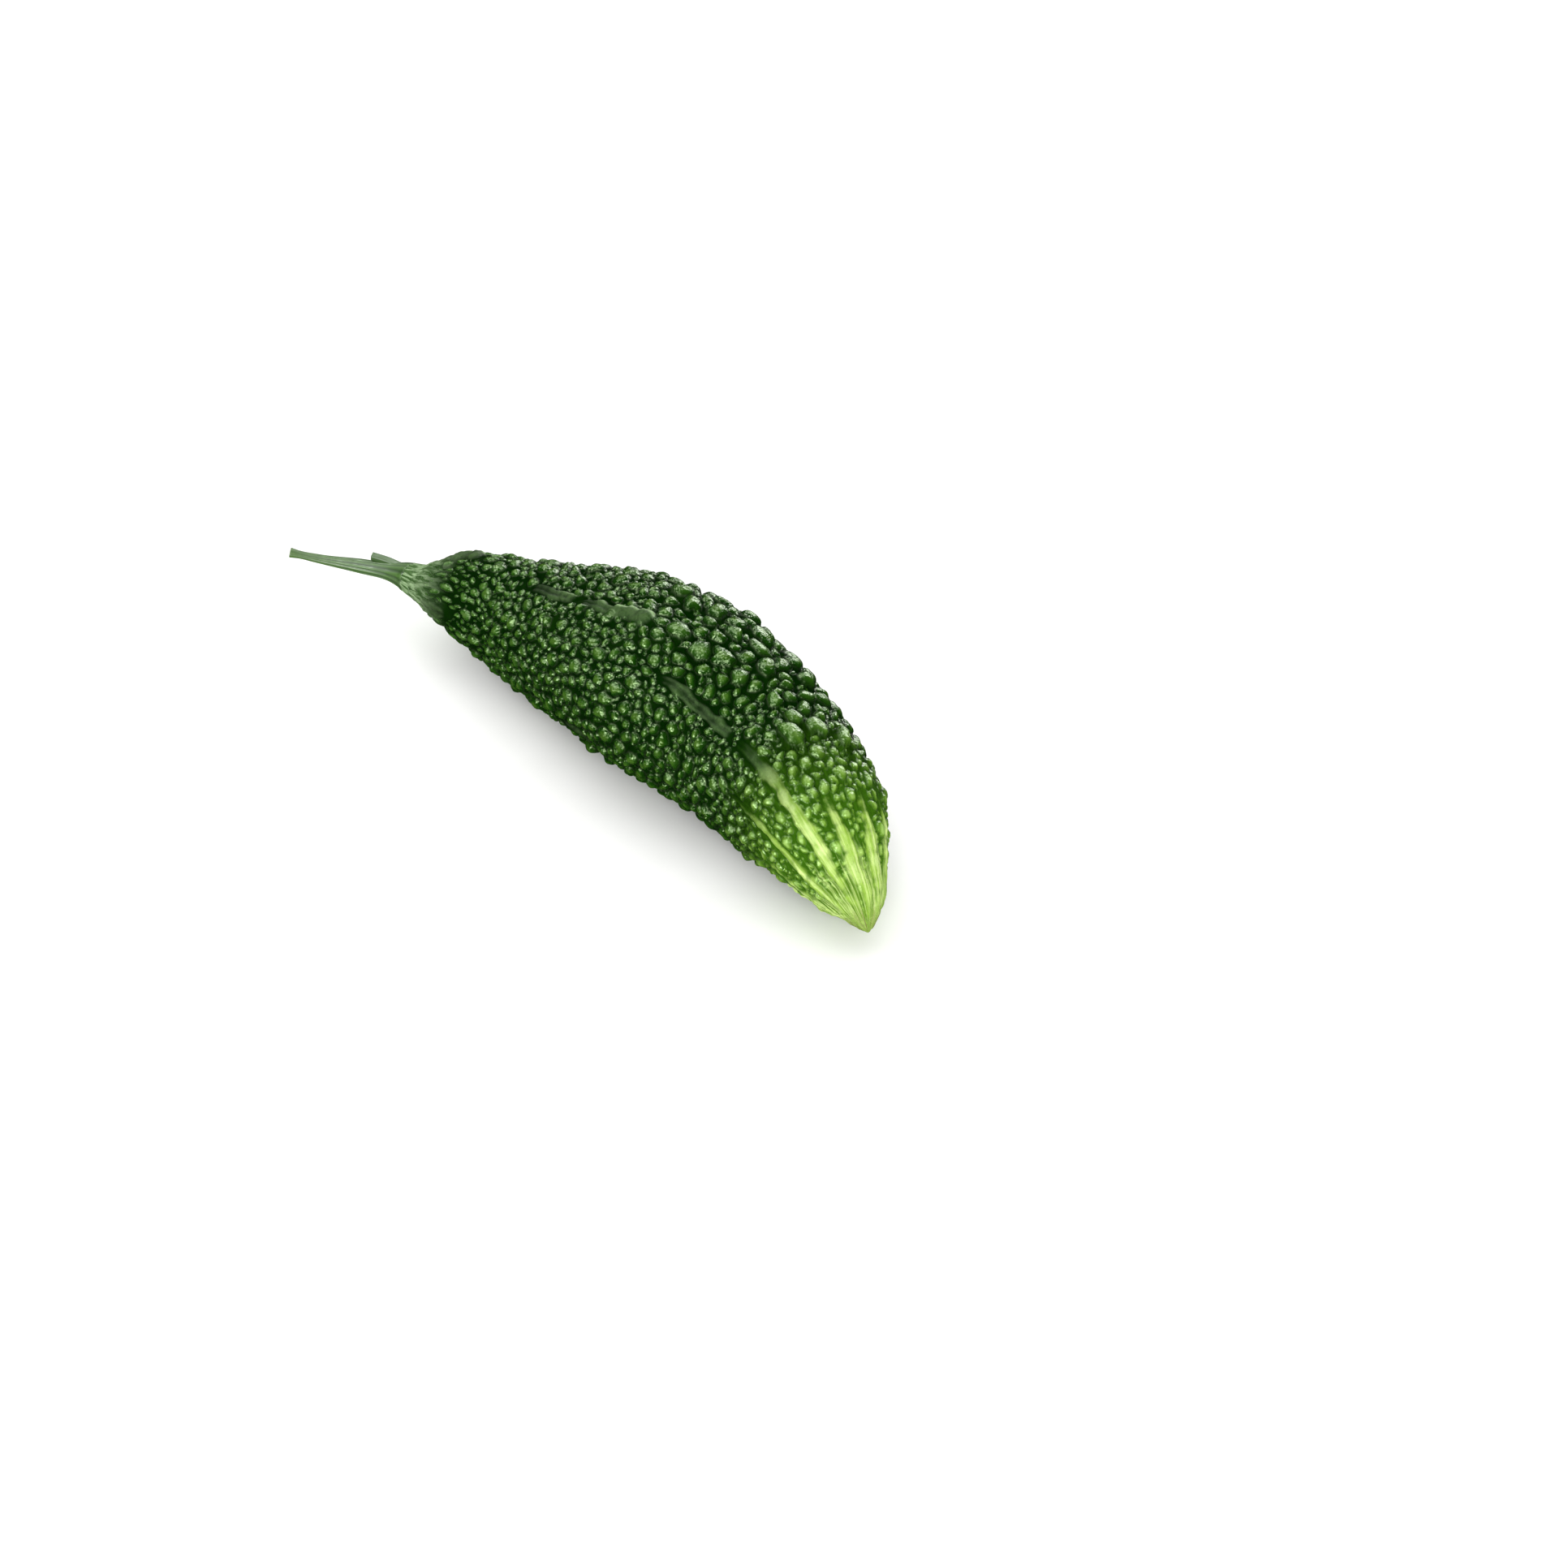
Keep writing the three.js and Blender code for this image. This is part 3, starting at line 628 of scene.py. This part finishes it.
def fill_mesh(name, points, triangles, attributes):
    """A smooth-shaded mesh object in metres, with its float attributes by point."""
    mesh = bpy.data.meshes.new(name)
    mesh.vertices.add(len(points))
    mesh.vertices.foreach_set("co", (np.asarray(points) * METRES).astype(np.float32).ravel())
    mesh.loops.add(3 * len(triangles))
    mesh.loops.foreach_set("vertex_index", np.asarray(triangles).astype(np.int32).ravel())
    mesh.polygons.add(len(triangles))
    mesh.polygons.foreach_set("loop_start", np.arange(0, 3 * len(triangles), 3, dtype=np.int32))
    mesh.update(calc_edges=True)
    mesh.validate()
    mesh.polygons.foreach_set("use_smooth", np.ones(len(triangles), bool))
    for key, values in attributes.items():
        attribute = mesh.attributes.new(key, "FLOAT", "POINT")
        attribute.data.foreach_set("value", np.asarray(values, np.float32))
    made = bpy.data.objects.new(name, mesh)
    bpy.context.scene.collection.objects.link(made)
    return made


def all_the_beads():
    """The lobes, the beads and the grains between them."""
    knobs = crest_knobs()
    lobes = big_lobes()
    beads = scatter(np.concatenate([knobs, lobes[:, :4]]), PASSES, random_from(SEED))
    beads = np.concatenate([lobes, beads])
    grains = scatter(np.concatenate([knobs, beads[:, :4]]), GRAIN_PASSES, random_from(GRAIN_SEED))
    return np.concatenate([beads, grains])


def make_fruit(shift):
    skin = Skin()
    flat = skin_point(skin.place, skin.angle, np.zeros(len(skin.place)))
    reach_warp = sum(size * smooth_noise(flat, cell, ALONG_SEED) for cell, size in WARPS) / skin.radius
    angle_warp = sum(size * smooth_noise(flat, cell, ROUND_SEED) for cell, size in WARPS) / skin.radius
    beads = all_the_beads()
    bumps, share, core, tint = relief(skin, beads, bead_forms(beads), (reach_warp, angle_warp))
    crest, cover, painted_crest_highlight = crests(
        skin,
        flutter=smooth_noise(flat, FLUTTER_SIZE, FLUTTER_SEED),
        sway=sum(reach * smooth_noise(flat, cell, seed) for reach, cell, seed in SWAYS),
        knobbly=smooth_noise(flat, KNOBBLY_SIZE, KNOBBLY_SEED),
    )
    crest *= calm(skin.place)
    bumps *= calm(skin.place) * (NECK_KEEPS + (1 - NECK_KEEPS) * smooth_step(*NECK_RISES, skin.place))
    bumps *= 1 - (CREST_COVER - TIP_SHOWS * smooth_step(*TIP_SHOWS_FROM, skin.place)) * cover
    over = np.log(np.exp(CREST_BLEND * bumps) + np.exp(CREST_BLEND * crest) - 1) / CREST_BLEND
    broad = BROAD_HEIGHT * smooth_noise(flat, BROAD_SIZE, BROAD_SEED) * smooth_step(*BROAD_FROM, skin.place)
    broad *= 1 - smooth_step(*BROAD_UNTIL, skin.place)
    broad += PITTED[1] * smooth_noise(flat, PITTED[0], PITTED_SEED) * smooth_step(*PITTED_FROM, skin.place)
    neck_ribs = ribs(skin.angle) * np.maximum(0, 1 - skin.place / RIB_FADE)
    height = over + broad + neck_ribs + swell(skin.reach, skin.angle, skin.place)
    points = skin_point(skin.place, skin.angle, height)

    tip, along = (part[0] for part in station(np.array([1.0]))[:2])
    neck = axis_point(np.array([0.0]))[0]
    points = np.concatenate([points, [tip + TIP_NUB * along], [neck]]) + shift
    # The lowest beads are pressed flat on the surface by the fruit's own weight.
    points[:, 2] = np.maximum(points[:, 2], 0)
    last_ring = np.arange(skin.starts[-2], skin.starts[-1])
    first_ring = np.arange(skin.counts[0])
    tip_index = len(points) - 2
    neck_index = tip_index + 1
    tip_fan = np.stack([np.roll(last_ring, -1), last_ring, np.full(len(last_ring), tip_index)], axis=1)
    neck_fan = np.stack([first_ring, np.roll(first_ring, -1), np.full(len(first_ring), neck_index)], axis=1)
    triangles = np.concatenate([skin.triangles(), tip_fan, neck_fan])

    # The 'height' field is not a height but a mask of painted light on the beads. It is low in the creases
    # between them, where the rind is painted dark as shade, and up to 1 on their tops, where it is painted
    # pale as sheen. Small beads get less.
    usual = WART_HEIGHT * through(WART_SPACING, skin.place) * calm(skin.place)
    full = np.minimum(1, bumps / (FULL_BEAD * usual * np.maximum(share, LEAST_SHARE)))
    small = SHEEN_BY_SIZE[0] + SHEEN_BY_SIZE[1] * full
    at_the_ends = {
        "height": [0.5, 0.5],
        "crest": [1, 0],
        "painted_crest_highlight": [0, 0],
        "tint": [0, 0],
        "place": [1, 0],
        "streak_x": [0, 0],
        "streak_y": [0, 0],
    }
    fields = {
        "height": core * small,
        "crest": crest / RIDGE_HEIGHT,
        "painted_crest_highlight": painted_crest_highlight,
        "tint": tint,
        "place": skin.place,
        "streak_x": np.cos(skin.angle),
        "streak_y": np.sin(skin.angle),
    }
    attributes = {key: np.concatenate([values, at_the_ends[key]]) for key, values in fields.items()}
    return fill_mesh("fruit_rind", points, triangles, attributes)


def curve_points(controls, count):
    """Evenly spaced points and directions along a smooth curve through the control points."""
    controls = np.array(controls, float)
    lengths = np.linalg.norm(np.diff(controls, axis=0), axis=1) ** 0.5
    knots = np.concatenate([[0], np.cumsum(lengths)])
    fine = np.linspace(0, knots[-1], CURVE_STEPS)
    line = np.stack([through(list(zip(knots, controls[:, axis])), fine) for axis in range(3)], axis=1)
    runs = np.concatenate([[0], np.cumsum(np.linalg.norm(np.diff(line, axis=0), axis=1))])
    even = np.linspace(0, runs[-1], count)
    points = np.stack([np.interp(even, runs, line[:, axis]) for axis in range(3)], axis=1)
    return points, unit(np.gradient(points, axis=0))


def tube(centres, alongs, side, up, angles, radii):
    """Rings of points along a curve. The pair of directions across it is carried along without twist."""
    rings = []
    for centre, along, radius in zip(centres, alongs, radii):
        side = unit(side - along * side.dot(along))
        carried_up = np.cross(along, side)
        up = carried_up if carried_up.dot(up) > 0 else -carried_up
        out = np.cos(angles)[:, None] * side + np.sin(angles)[:, None] * up
        rings.append(centre + radius[:, None] * out)
    return np.array(rings)


def loft_triangles(rings, sides, offset, flipped):
    """Faces of a tube closed by a fan at each end, whose middle points follow its rings."""
    made = []
    base = np.arange(sides)
    following = (base + 1) % sides
    for ring in range(rings - 1):
        here = ring * sides
        there = here + sides
        made.append(np.stack([here + base, here + following, there + following], axis=1))
        made.append(np.stack([here + base, there + following, there + base], axis=1))
    start = rings * sides
    last = (rings - 1) * sides
    made.append(np.stack([np.full(sides, start), following, base], axis=1))
    made.append(np.stack([np.full(sides, start + 1), last + base, last + following], axis=1))
    triangles = np.concatenate(made)
    if flipped:
        triangles = triangles[:, ::-1]
    return triangles + offset


def make_stem():
    """The stem, and how far the fruit's own frame lies from the part's, by the box of the stem's solid."""
    neck, along, side, up = (part[0] for part in station(np.array([0.0]))[:4])
    first = neck - STEM_GAP * along
    bend = first - NECK_RUN * along
    centres, alongs = curve_points([first, bend, *STEM_PATH], STEM_RINGS)
    share = np.linspace(0, 1, STEM_RINGS)
    angles = np.linspace(0, 2 * math.pi, STEM_SIDES + 1)[:-1]
    rib = ribs(angles)
    radii = through(STEM_RADII, share)[:, None] + rib[None, :] * (1 - RIB_LOSS * share)[:, None]
    rings = tube(centres, alongs, side, up, angles, radii)
    # The stem reaches a little into the neck, and its cut end is hollowed like a cup.
    inner = [
        neck + NECK_DEPTH * along + (rings[0] - first) * NECK_SHARES[0],
        neck + (rings[0] - first) * NECK_SHARES[1],
    ]
    end = centres[-1]
    cup = [end + (rings[-1] - end) * scale - alongs[-1] * depth for scale, depth in CUP_RINGS]
    rings = np.concatenate([inner, rings, cup])
    closing = [inner[0].mean(axis=0), end - alongs[-1] * CUP_DEPTH]
    stem_points = np.concatenate([rings.reshape(-1, 3), closing])
    stem_triangles = loft_triangles(len(rings), STEM_SIDES, 0, True)
    stem_cut = np.zeros(len(stem_points))
    stem_cut[(len(rings) - len(cup)) * STEM_SIDES :] = 1
    stem_cut[-2] = 0
    stem_share = np.concatenate([np.repeat([0, 0, *share, *np.ones(len(cup))], STEM_SIDES), [0, 1]])
    stem_rib = np.concatenate([np.tile(rib / RIB_HEIGHT, len(rings)), [0, 0]])

    centres, alongs = curve_points(STUB_PATH, STUB_RINGS)
    share = np.linspace(0, 1, STUB_RINGS)
    angles = np.linspace(0, 2 * math.pi, STUB_SIDES + 1)[:-1]
    grooves = STUB_GROOVE_DEPTH * np.cos(STUB_GROOVES * angles)
    flared = STUB_RADIUS + STUB_FLARE * np.exp(-share * STUB_FLARE_FADE)
    radii = flared[:, None] + grooves[None, :]
    rings = tube(centres, alongs, np.array([1.0, 0, 0]), np.array([0, 0, 1.0]), angles, radii)
    end = centres[-1]
    cap = [end + (rings[-1] - end) * scale + alongs[-1] * height for scale, height in STUB_CAP]
    rings = np.concatenate([rings, cap])
    stub_points = np.concatenate([rings.reshape(-1, 3), [centres[0]], [end - STUB_HOLLOW * alongs[-1]]])
    stub_triangles = loft_triangles(len(rings), STUB_SIDES, len(stem_points), False)
    stub_cut = np.zeros(len(stub_points))
    stub_cut[STUB_RINGS * STUB_SIDES :] = 1
    stub_cut[-2] = 0

    points = np.concatenate([stem_points, stub_points])
    shift = np.array(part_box("stem")[0]) / METRES - points.min(axis=0)
    attributes = {
        "cut": np.concatenate([stem_cut, stub_cut]),
        "share": np.concatenate([stem_share, np.full(len(stub_points), STUB_SHARE)]),
        "rib": np.concatenate([stem_rib, np.full(len(stub_points), STUB_RIB)]),
    }
    triangles = np.concatenate([stem_triangles, stub_triangles])
    return fill_mesh("stem_cut", points + shift, triangles, attributes), shift


class Nodes:
    """Short ways to add and join the nodes of one material."""

    def __init__(self, name):
        self.material = bpy.data.materials.new(name)
        self.material.use_nodes = True
        self.tree = self.material.node_tree
        self.shader = self.tree.nodes["Principled BSDF"]

    def join(self, value, socket):
        if isinstance(value, bpy.types.NodeSocket):
            self.tree.links.new(value, socket)
        elif socket.type == "RGBA" and len(value) == 3:
            socket.default_value = (*value, 1)
        else:
            socket.default_value = value

    def attribute(self, name):
        node = self.tree.nodes.new("ShaderNodeAttribute")
        node.attribute_name = name
        return node.outputs["Fac"]

    def noise(self, scale, detail, vector=None):
        node = self.tree.nodes.new("ShaderNodeTexNoise")
        node.inputs["Scale"].default_value = scale
        node.inputs["Detail"].default_value = detail
        self.join(vector or self.place(), node.inputs["Vector"])
        return node.outputs["Fac"]

    def place(self):
        return self.tree.nodes.new("ShaderNodeTexCoord").outputs["Object"]

    def unrolled(self, place, around, along):
        """Where a point lies round the rind and along it, for streaks that are drawn out along it."""
        node = self.tree.nodes.new("ShaderNodeCombineXYZ")
        self.join(self.maths("MULTIPLY", self.attribute("streak_x"), around), node.inputs[0])
        self.join(self.maths("MULTIPLY", self.attribute("streak_y"), around), node.inputs[1])
        self.join(self.maths("MULTIPLY", place, along), node.inputs[2])
        return node.outputs["Vector"]

    def maths(self, operation, a, b):
        node = self.tree.nodes.new("ShaderNodeMath")
        node.operation = operation
        self.join(a, node.inputs[0])
        self.join(b, node.inputs[1])
        return node.outputs["Value"]

    def span(self, value, start, end, low=0.0, high=1.0):
        """Maps start..end smoothly to low..high."""
        node = self.tree.nodes.new("ShaderNodeMapRange")
        node.interpolation_type = "SMOOTHSTEP"
        self.join(value, node.inputs["Value"])
        for key, number in (("From Min", start), ("From Max", end), ("To Min", low), ("To Max", high)):
            node.inputs[key].default_value = number
        return node.outputs["Result"]

    def mix(self, share, a, b):
        node = self.tree.nodes.new("ShaderNodeMix")
        node.data_type = "RGBA"
        self.join(share, node.inputs["Factor"])
        colours = [socket for socket in node.inputs if socket.type == "RGBA"]
        self.join(a, colours[0])
        self.join(b, colours[1])
        return next(socket for socket in node.outputs if socket.type == "RGBA")

    def mix_value(self, share, a, b):
        node = self.tree.nodes.new("ShaderNodeMix")
        node.data_type = "FLOAT"
        self.join(share, node.inputs["Factor"])
        self.join(a, node.inputs["A"])
        self.join(b, node.inputs["B"])
        return node.outputs["Result"]

    def bump(self, height, strength, distance, normal=None):
        node = self.tree.nodes.new("ShaderNodeBump")
        node.inputs["Strength"].default_value = strength
        node.inputs["Distance"].default_value = distance
        self.join(height, node.inputs["Height"])
        if normal:
            self.join(normal, node.inputs["Normal"])
        return node.outputs["Normal"]


def colour(red, green, blue):
    """Linear light from the usual 0 to 255."""
    shares = [value / 255 for value in (red, green, blue)]
    return tuple(share / 12.92 if share < 0.0404 else ((share + 0.055) / 1.055) ** 2.4 for share in shares)


def rind_material():
    n = Nodes("rind")
    height = n.attribute("height")
    crest = n.attribute("crest")
    place = n.attribute("place")
    tint = n.attribute("tint")
    mottle = n.noise(120, 4.0)
    fine = n.noise(900, 3.0)
    streak = n.noise(2.2, 3.0, n.unrolled(place, 9.0, 9.0))
    strand = n.noise(2.4, 2.0, n.unrolled(place, 3.6, 18.0))
    blotch = n.noise(330, 3.0)

    # Painted shade and sheen from the 'height' mask. The gaps between beads go near-black green, partly the
    # rind's own deeper green and partly painted shade. The bead tops go a pale grey-green that is painted
    # sheen, paler still near the neck.
    low = n.span(height, 0.25, 0.85)
    high = n.span(height, 0.72, 0.99)
    body = n.mix(low, colour(3, 30, 0), colour(20, 60, 4))
    body = n.mix(n.maths("MULTIPLY", n.span(place, 0.36, 0.08, 0.0, 0.5), low), body, colour(60, 108, 30))
    top = n.mix(n.span(place, 0.22, 0.05), colour(60, 92, 28), colour(104, 134, 78))
    body = n.mix(high, body, top)
    body = n.mix(n.span(mottle, 0.4, 0.7, 0.0, 0.35), body, colour(18, 48, 4))
    body = n.mix(n.maths("MULTIPLY", n.span(tint, -0.6, 1.0, 0.0, 0.3), low), body, colour(56, 98, 20))
    crest_colour = n.mix(n.span(crest, 0.5, 1.0), colour(24, 54, 12), colour(52, 80, 34))
    crest_colour = n.mix(n.span(blotch, 0.4, 0.65, 0.0, 0.5), crest_colour, colour(32, 66, 18))
    body = n.mix(n.maths("MULTIPLY", n.span(crest, 0.3, 0.8), 0.85), body, crest_colour)
    # Painted highlight: a pale line along the wide crests.
    body = n.mix(n.maths("MULTIPLY", n.attribute("painted_crest_highlight"), 0.95), body, colour(172, 204, 146))

    neck = n.mix(n.span(strand, 0.4, 0.62), colour(58, 88, 44), colour(150, 176, 132))
    neck = n.mix(n.span(streak, 0.4, 0.6, 0.0, 0.4), neck, colour(96, 126, 78))
    neck = n.mix(n.span(crest, 0.0, 0.5, 0.0, 0.5), neck, colour(110, 134, 92))
    body = n.mix(n.span(place, 0.12, 0.02), body, neck)

    pale_place = n.maths("ADD", place, n.maths("MULTIPLY", n.maths("SUBTRACT", streak, 0.5), 0.14))
    # At the tip as well: dark gaps, partly painted shade, and pale bead tops that are painted sheen.
    tip = n.mix(low, colour(60, 104, 15), colour(112, 154, 48))
    tip = n.mix(high, tip, colour(156, 194, 96))
    skin_colour = n.mix(n.span(pale_place, 0.74, 0.98), body, tip)
    pale = n.mix(n.span(streak, 0.35, 0.65), colour(144, 180, 68), colour(202, 224, 138))
    pale = n.mix(n.span(blotch, 0.42, 0.62, 0.0, 0.35), pale, colour(128, 168, 50))
    pale = n.mix(n.span(crest, 0.55, 0.95, 0.0, 0.5), pale, colour(214, 232, 162))
    worn = n.maths("ADD", crest, n.maths("MULTIPLY", n.maths("SUBTRACT", blotch, 0.5), 0.9))
    pale_crest = n.maths("MULTIPLY", n.span(worn, 0.08, 0.65), n.span(place, 0.785, 0.925))
    pale_tip = n.span(pale_place, 0.93, 1.0, 0.0, 0.8)
    skin_colour = n.mix(n.maths("MAXIMUM", pale_crest, pale_tip), skin_colour, pale)
    withered = n.maths("MULTIPLY", n.span(place, 0.975, 0.995), n.span(streak, 0.5, 0.6))
    skin_colour = n.mix(n.maths("MULTIPLY", withered, 0.8), skin_colour, colour(92, 74, 28))
    n.join(skin_colour, n.shader.inputs["Base Color"])

    dull = n.maths("MINIMUM", n.span(height, 0.2, 0.55, 1.0, 0.0), n.span(crest, 0.2, 0.6, 1.0, 0.55))
    polish = n.maths("ADD", n.maths("MULTIPLY", tint, 0.06), n.span(fine, 0.3, 0.7, 0.12, 0.22))
    n.join(n.mix_value(dull, polish, 1.0), n.shader.inputs["Roughness"])
    n.join(n.mix_value(dull, 0.5, 0.02), n.shader.inputs["Specular IOR Level"])
    n.shader.inputs["Specular Tint"].default_value = (0.72, 1.0, 0.5, 1.0)
    tip_furrows = n.maths("MULTIPLY", streak, n.span(place, 0.85, 0.95))
    neck_furrows = n.maths("MULTIPLY", strand, n.span(place, 0.14, 0.04))
    furrows = n.maths("ADD", tip_furrows, neck_furrows)
    n.join(n.bump(fine, 0.7, 0.0008, n.bump(furrows, 0.5, 0.002)), n.shader.inputs["Normal"])
    return n.material


def stem_material():
    n = Nodes("stem")
    rib = n.attribute("rib")
    share = n.attribute("share")
    mottle = n.noise(300, 4.0)
    fibres = n.noise(1500, 2.0)
    skin = n.mix(n.span(rib, 0.0, 1.0), colour(40, 74, 20), colour(72, 112, 40))
    skin = n.mix(n.span(share, 0.3, 1.0, 0.0, 0.6), skin, colour(80, 114, 46))
    skin = n.mix(n.span(mottle, 0.4, 0.7, 0.0, 0.4), skin, colour(50, 84, 28))
    cut = n.mix(n.span(fibres, 0.4, 0.6), colour(170, 176, 120), colour(120, 130, 76))
    n.join(n.mix(n.attribute("cut"), skin, cut), n.shader.inputs["Base Color"])
    n.join(n.span(mottle, 0.3, 0.7, 0.42, 0.6), n.shader.inputs["Roughness"])
    n.join(n.bump(fibres, 0.2, 0.0003), n.shader.inputs["Normal"])
    return n.material


def floor_material():
    n = Nodes("floor")
    grain = n.noise(40, 3.0)
    pale = n.mix(grain, colour(244, 244, 242), colour(250, 250, 249))
    rays = n.tree.nodes.new("ShaderNodeLightPath")
    n.join(n.mix(rays.outputs["Is Glossy Ray"], pale, colour(30, 30, 30)), n.shader.inputs["Base Color"])
    n.shader.inputs["Roughness"].default_value = 0.9
    n.shader.inputs["Specular IOR Level"].default_value = 0
    return n.material


def make_floor():
    size = FLOOR_HALF_SIZE
    corners = [(-size, -size, 0), (size, -size, 0), (size, size, 0), (-size, size, 0)]
    mesh = bpy.data.meshes.new("floor")
    mesh.from_pydata(corners, [], [(0, 1, 2, 3)])
    floor = bpy.data.objects.new("floor", mesh)
    bpy.context.scene.collection.objects.link(floor)
    mesh.materials.append(floor_material())


def area_light(name, azimuth, elevation, distance, size, watts, part):
    """A soft light for the body colour or for the gloss. Azimuth 0 is on the -Y side, as for the camera."""
    light = bpy.data.lights.new(name, "AREA")
    light.shape = "DISK"
    light.size = size
    light.energy = watts
    lamp = bpy.data.objects.new(name, light)
    lamp.rotation_euler = (math.radians(90 - elevation), 0, math.radians(azimuth))
    lamp.location = Vector(MIDDLE) + direction(azimuth, elevation) * distance
    lamp.visible_glossy = part == "gloss"
    lamp.visible_diffuse = part == "body"
    bpy.context.scene.collection.objects.link(lamp)


def direction(azimuth, elevation):
    a, e = math.radians(azimuth), math.radians(elevation)
    return Vector((math.sin(a) * math.cos(e), -math.cos(a) * math.cos(e), math.sin(e)))


def make_camera(shift):
    camera = bpy.data.objects.new("camera", bpy.data.cameras.new("camera"))
    camera.data.lens = CAMERA_LENS
    camera.data.sensor_width = CAMERA_SENSOR
    target = Vector((np.array(CAMERA_TARGET) + shift) * METRES)
    camera.location = target + direction(CAMERA_AZIMUTH, CAMERA_ELEVATION) * CAMERA_DISTANCE * METRES
    camera.rotation_euler = (math.radians(90 - CAMERA_ELEVATION), 0, math.radians(CAMERA_AZIMUTH))
    bpy.context.scene.collection.objects.link(camera)
    bpy.context.scene.camera = camera


stem, shift = make_stem()
stem.data.materials.append(stem_material())
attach(stem, "root")
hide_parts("stem")

fruit = make_fruit(shift)
fruit.data.materials.append(rind_material())
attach(fruit, "root")
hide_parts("fruit")

make_camera(shift)
make_floor()
for name, turn, elevation, distance, size, watts, part in LIGHTS:
    area_light(name, CAMERA_AZIMUTH + turn, elevation, distance, size, watts, part)

world = bpy.data.worlds.new("world")
world.use_nodes = True
background = world.node_tree.nodes["Background"]
background.inputs["Color"].default_value = (1, 1, 1, 1)
rays = world.node_tree.nodes.new("ShaderNodeLightPath")
strength = world.node_tree.nodes.new("ShaderNodeMapRange")
strength.inputs["To Min"].default_value = SKY_LIGHT
strength.inputs["To Max"].default_value = SKY_GLOSS
world.node_tree.links.new(rays.outputs["Is Glossy Ray"], strength.inputs["Value"])
world.node_tree.links.new(strength.outputs["Result"], background.inputs["Strength"])
bpy.context.scene.world = world
bpy.context.scene.view_settings.view_transform = "Standard"
